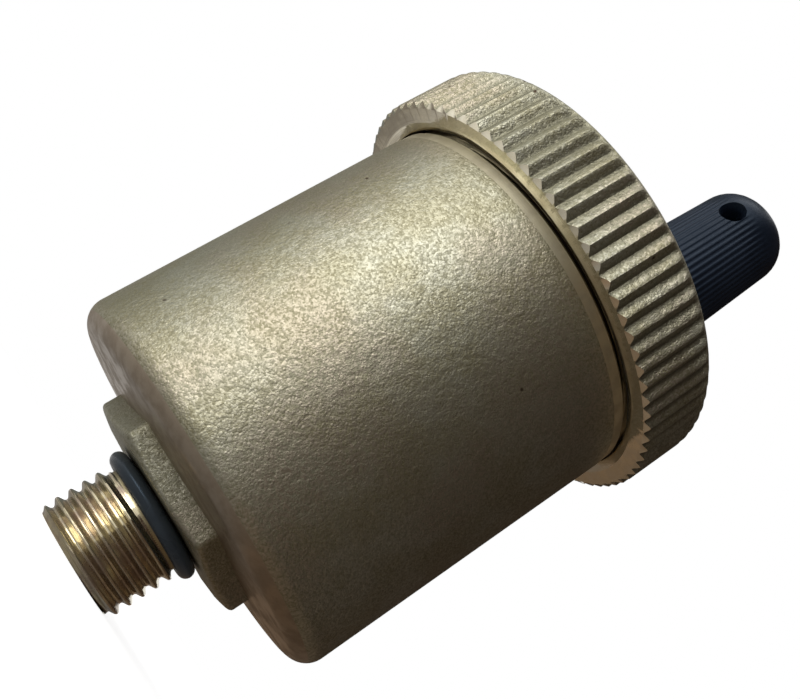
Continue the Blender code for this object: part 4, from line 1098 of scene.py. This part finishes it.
def make_card(name, start, end, colour, strength):
    """A curved card round the valve; headings in degrees, 0 behind the camera, positive on its right."""
    bm = bmesh.new()
    rings = []
    for row in range(CARD_ROWS + 1):
        lift = math.radians(CARD_TOP * row / CARD_ROWS)
        flat, height = CARD_RADIUS * math.cos(lift), CARD_RADIUS * math.sin(lift)
        ring = []
        for step in range(CARD_COLUMNS + 1):
            angle = math.radians(-90.0 + start + (end - start) * step / CARD_COLUMNS)
            ring.append(bm.verts.new((flat * math.cos(angle), flat * math.sin(angle), height)))
        rings.append(ring)
    for one, two in zip(rings, rings[1:]):
        for k in range(CARD_COLUMNS):
            bm.faces.new((one[k], one[k + 1], two[k + 1], two[k]))
    card = new_object(name, keep_mesh(bm, name))
    card.visible_camera = card.visible_diffuse = card.visible_shadow = False
    material, _, shader = plain_material(name)
    fill(shader, Base_Color=(*(0.4 * strength * c for c in colour), 1.0), Roughness=1.0, Specular_IOR_Level=0.0)
    fill(shader, Emission_Color=(*colour, 1.0), Emission_Strength=strength)
    card.data.materials.append(material)
    return card


dark_card = make_card("dark_card", -13.5, 160.0, (1.0, 0.62, 0.42), 0.035)
grey_card = make_card("grey_card", -102.0, -178.0, (0.95, 1.0, 0.95), 0.14)
print("cards", dark_card.name, grey_card.name)

# %% World
world = bpy.data.worlds.new("studio")
bpy.context.scene.world = world
world.use_nodes = True
tree = world.node_tree
background = tree.nodes["Background"]
fill(background, Color=(0.97, 0.98, 1.0, 1.0), Strength=0.3)
white = node(tree, "ShaderNodeBackground", Color=(1.0, 1.0, 1.0, 1.0), Strength=1.0)
path = tree.nodes.new("ShaderNodeLightPath")
seen = math_node(tree, "MAXIMUM", path.outputs["Is Camera Ray"], path.outputs["Is Glossy Ray"])
seen = math_node(tree, "MAXIMUM", seen, path.outputs["Is Transmission Ray"])
mixed = tree.nodes.new("ShaderNodeMixShader")
link(tree, seen, mixed.inputs[0])
link(tree, background.outputs[0], mixed.inputs[1])
link(tree, white.outputs[0], mixed.inputs[2])
link(tree, mixed.outputs[0], tree.nodes["World Output"].inputs["Surface"])
print("world", world.name)

# %% [markdown]
# Two large square lamps do the rest: the key from the front left and above, and a softer one from overhead.
# Large lamps near the object give broad, soft highlights, and keep its shadow light.


# %% Lamps
def soft_lamp(name, direction, distance, size, power, colour=(1.0, 1.0, 1.0), aim=(0.0, 0.0, 0.042)):
    """A square area lamp that looks at the valve from a direction."""
    light = bpy.data.lights.new(name, "AREA")
    light.shape = "SQUARE"
    light.size = size
    light.energy = power
    light.color = colour
    lamp = bpy.data.objects.new(name, light)
    towards = Vector(direction).normalized()
    lamp.location = Vector(aim) + towards * distance
    lamp.rotation_euler = towards.to_track_quat("Z", "Y").to_euler()
    bpy.context.scene.collection.objects.link(lamp)
    return lamp


soft_lamp("key_lamp", (-0.74, -0.62, 0.25), 0.45, 0.3, 1.1, (1.0, 0.99, 0.97))
soft_lamp("top_lamp", (-0.6, 0.1, 1.0), 0.8, 0.5, 1.2)
print("lamps ready")

# %% [markdown]
# ## Close the lesson
#

# %% View settings
bpy.context.scene.view_settings.view_transform = "Standard"
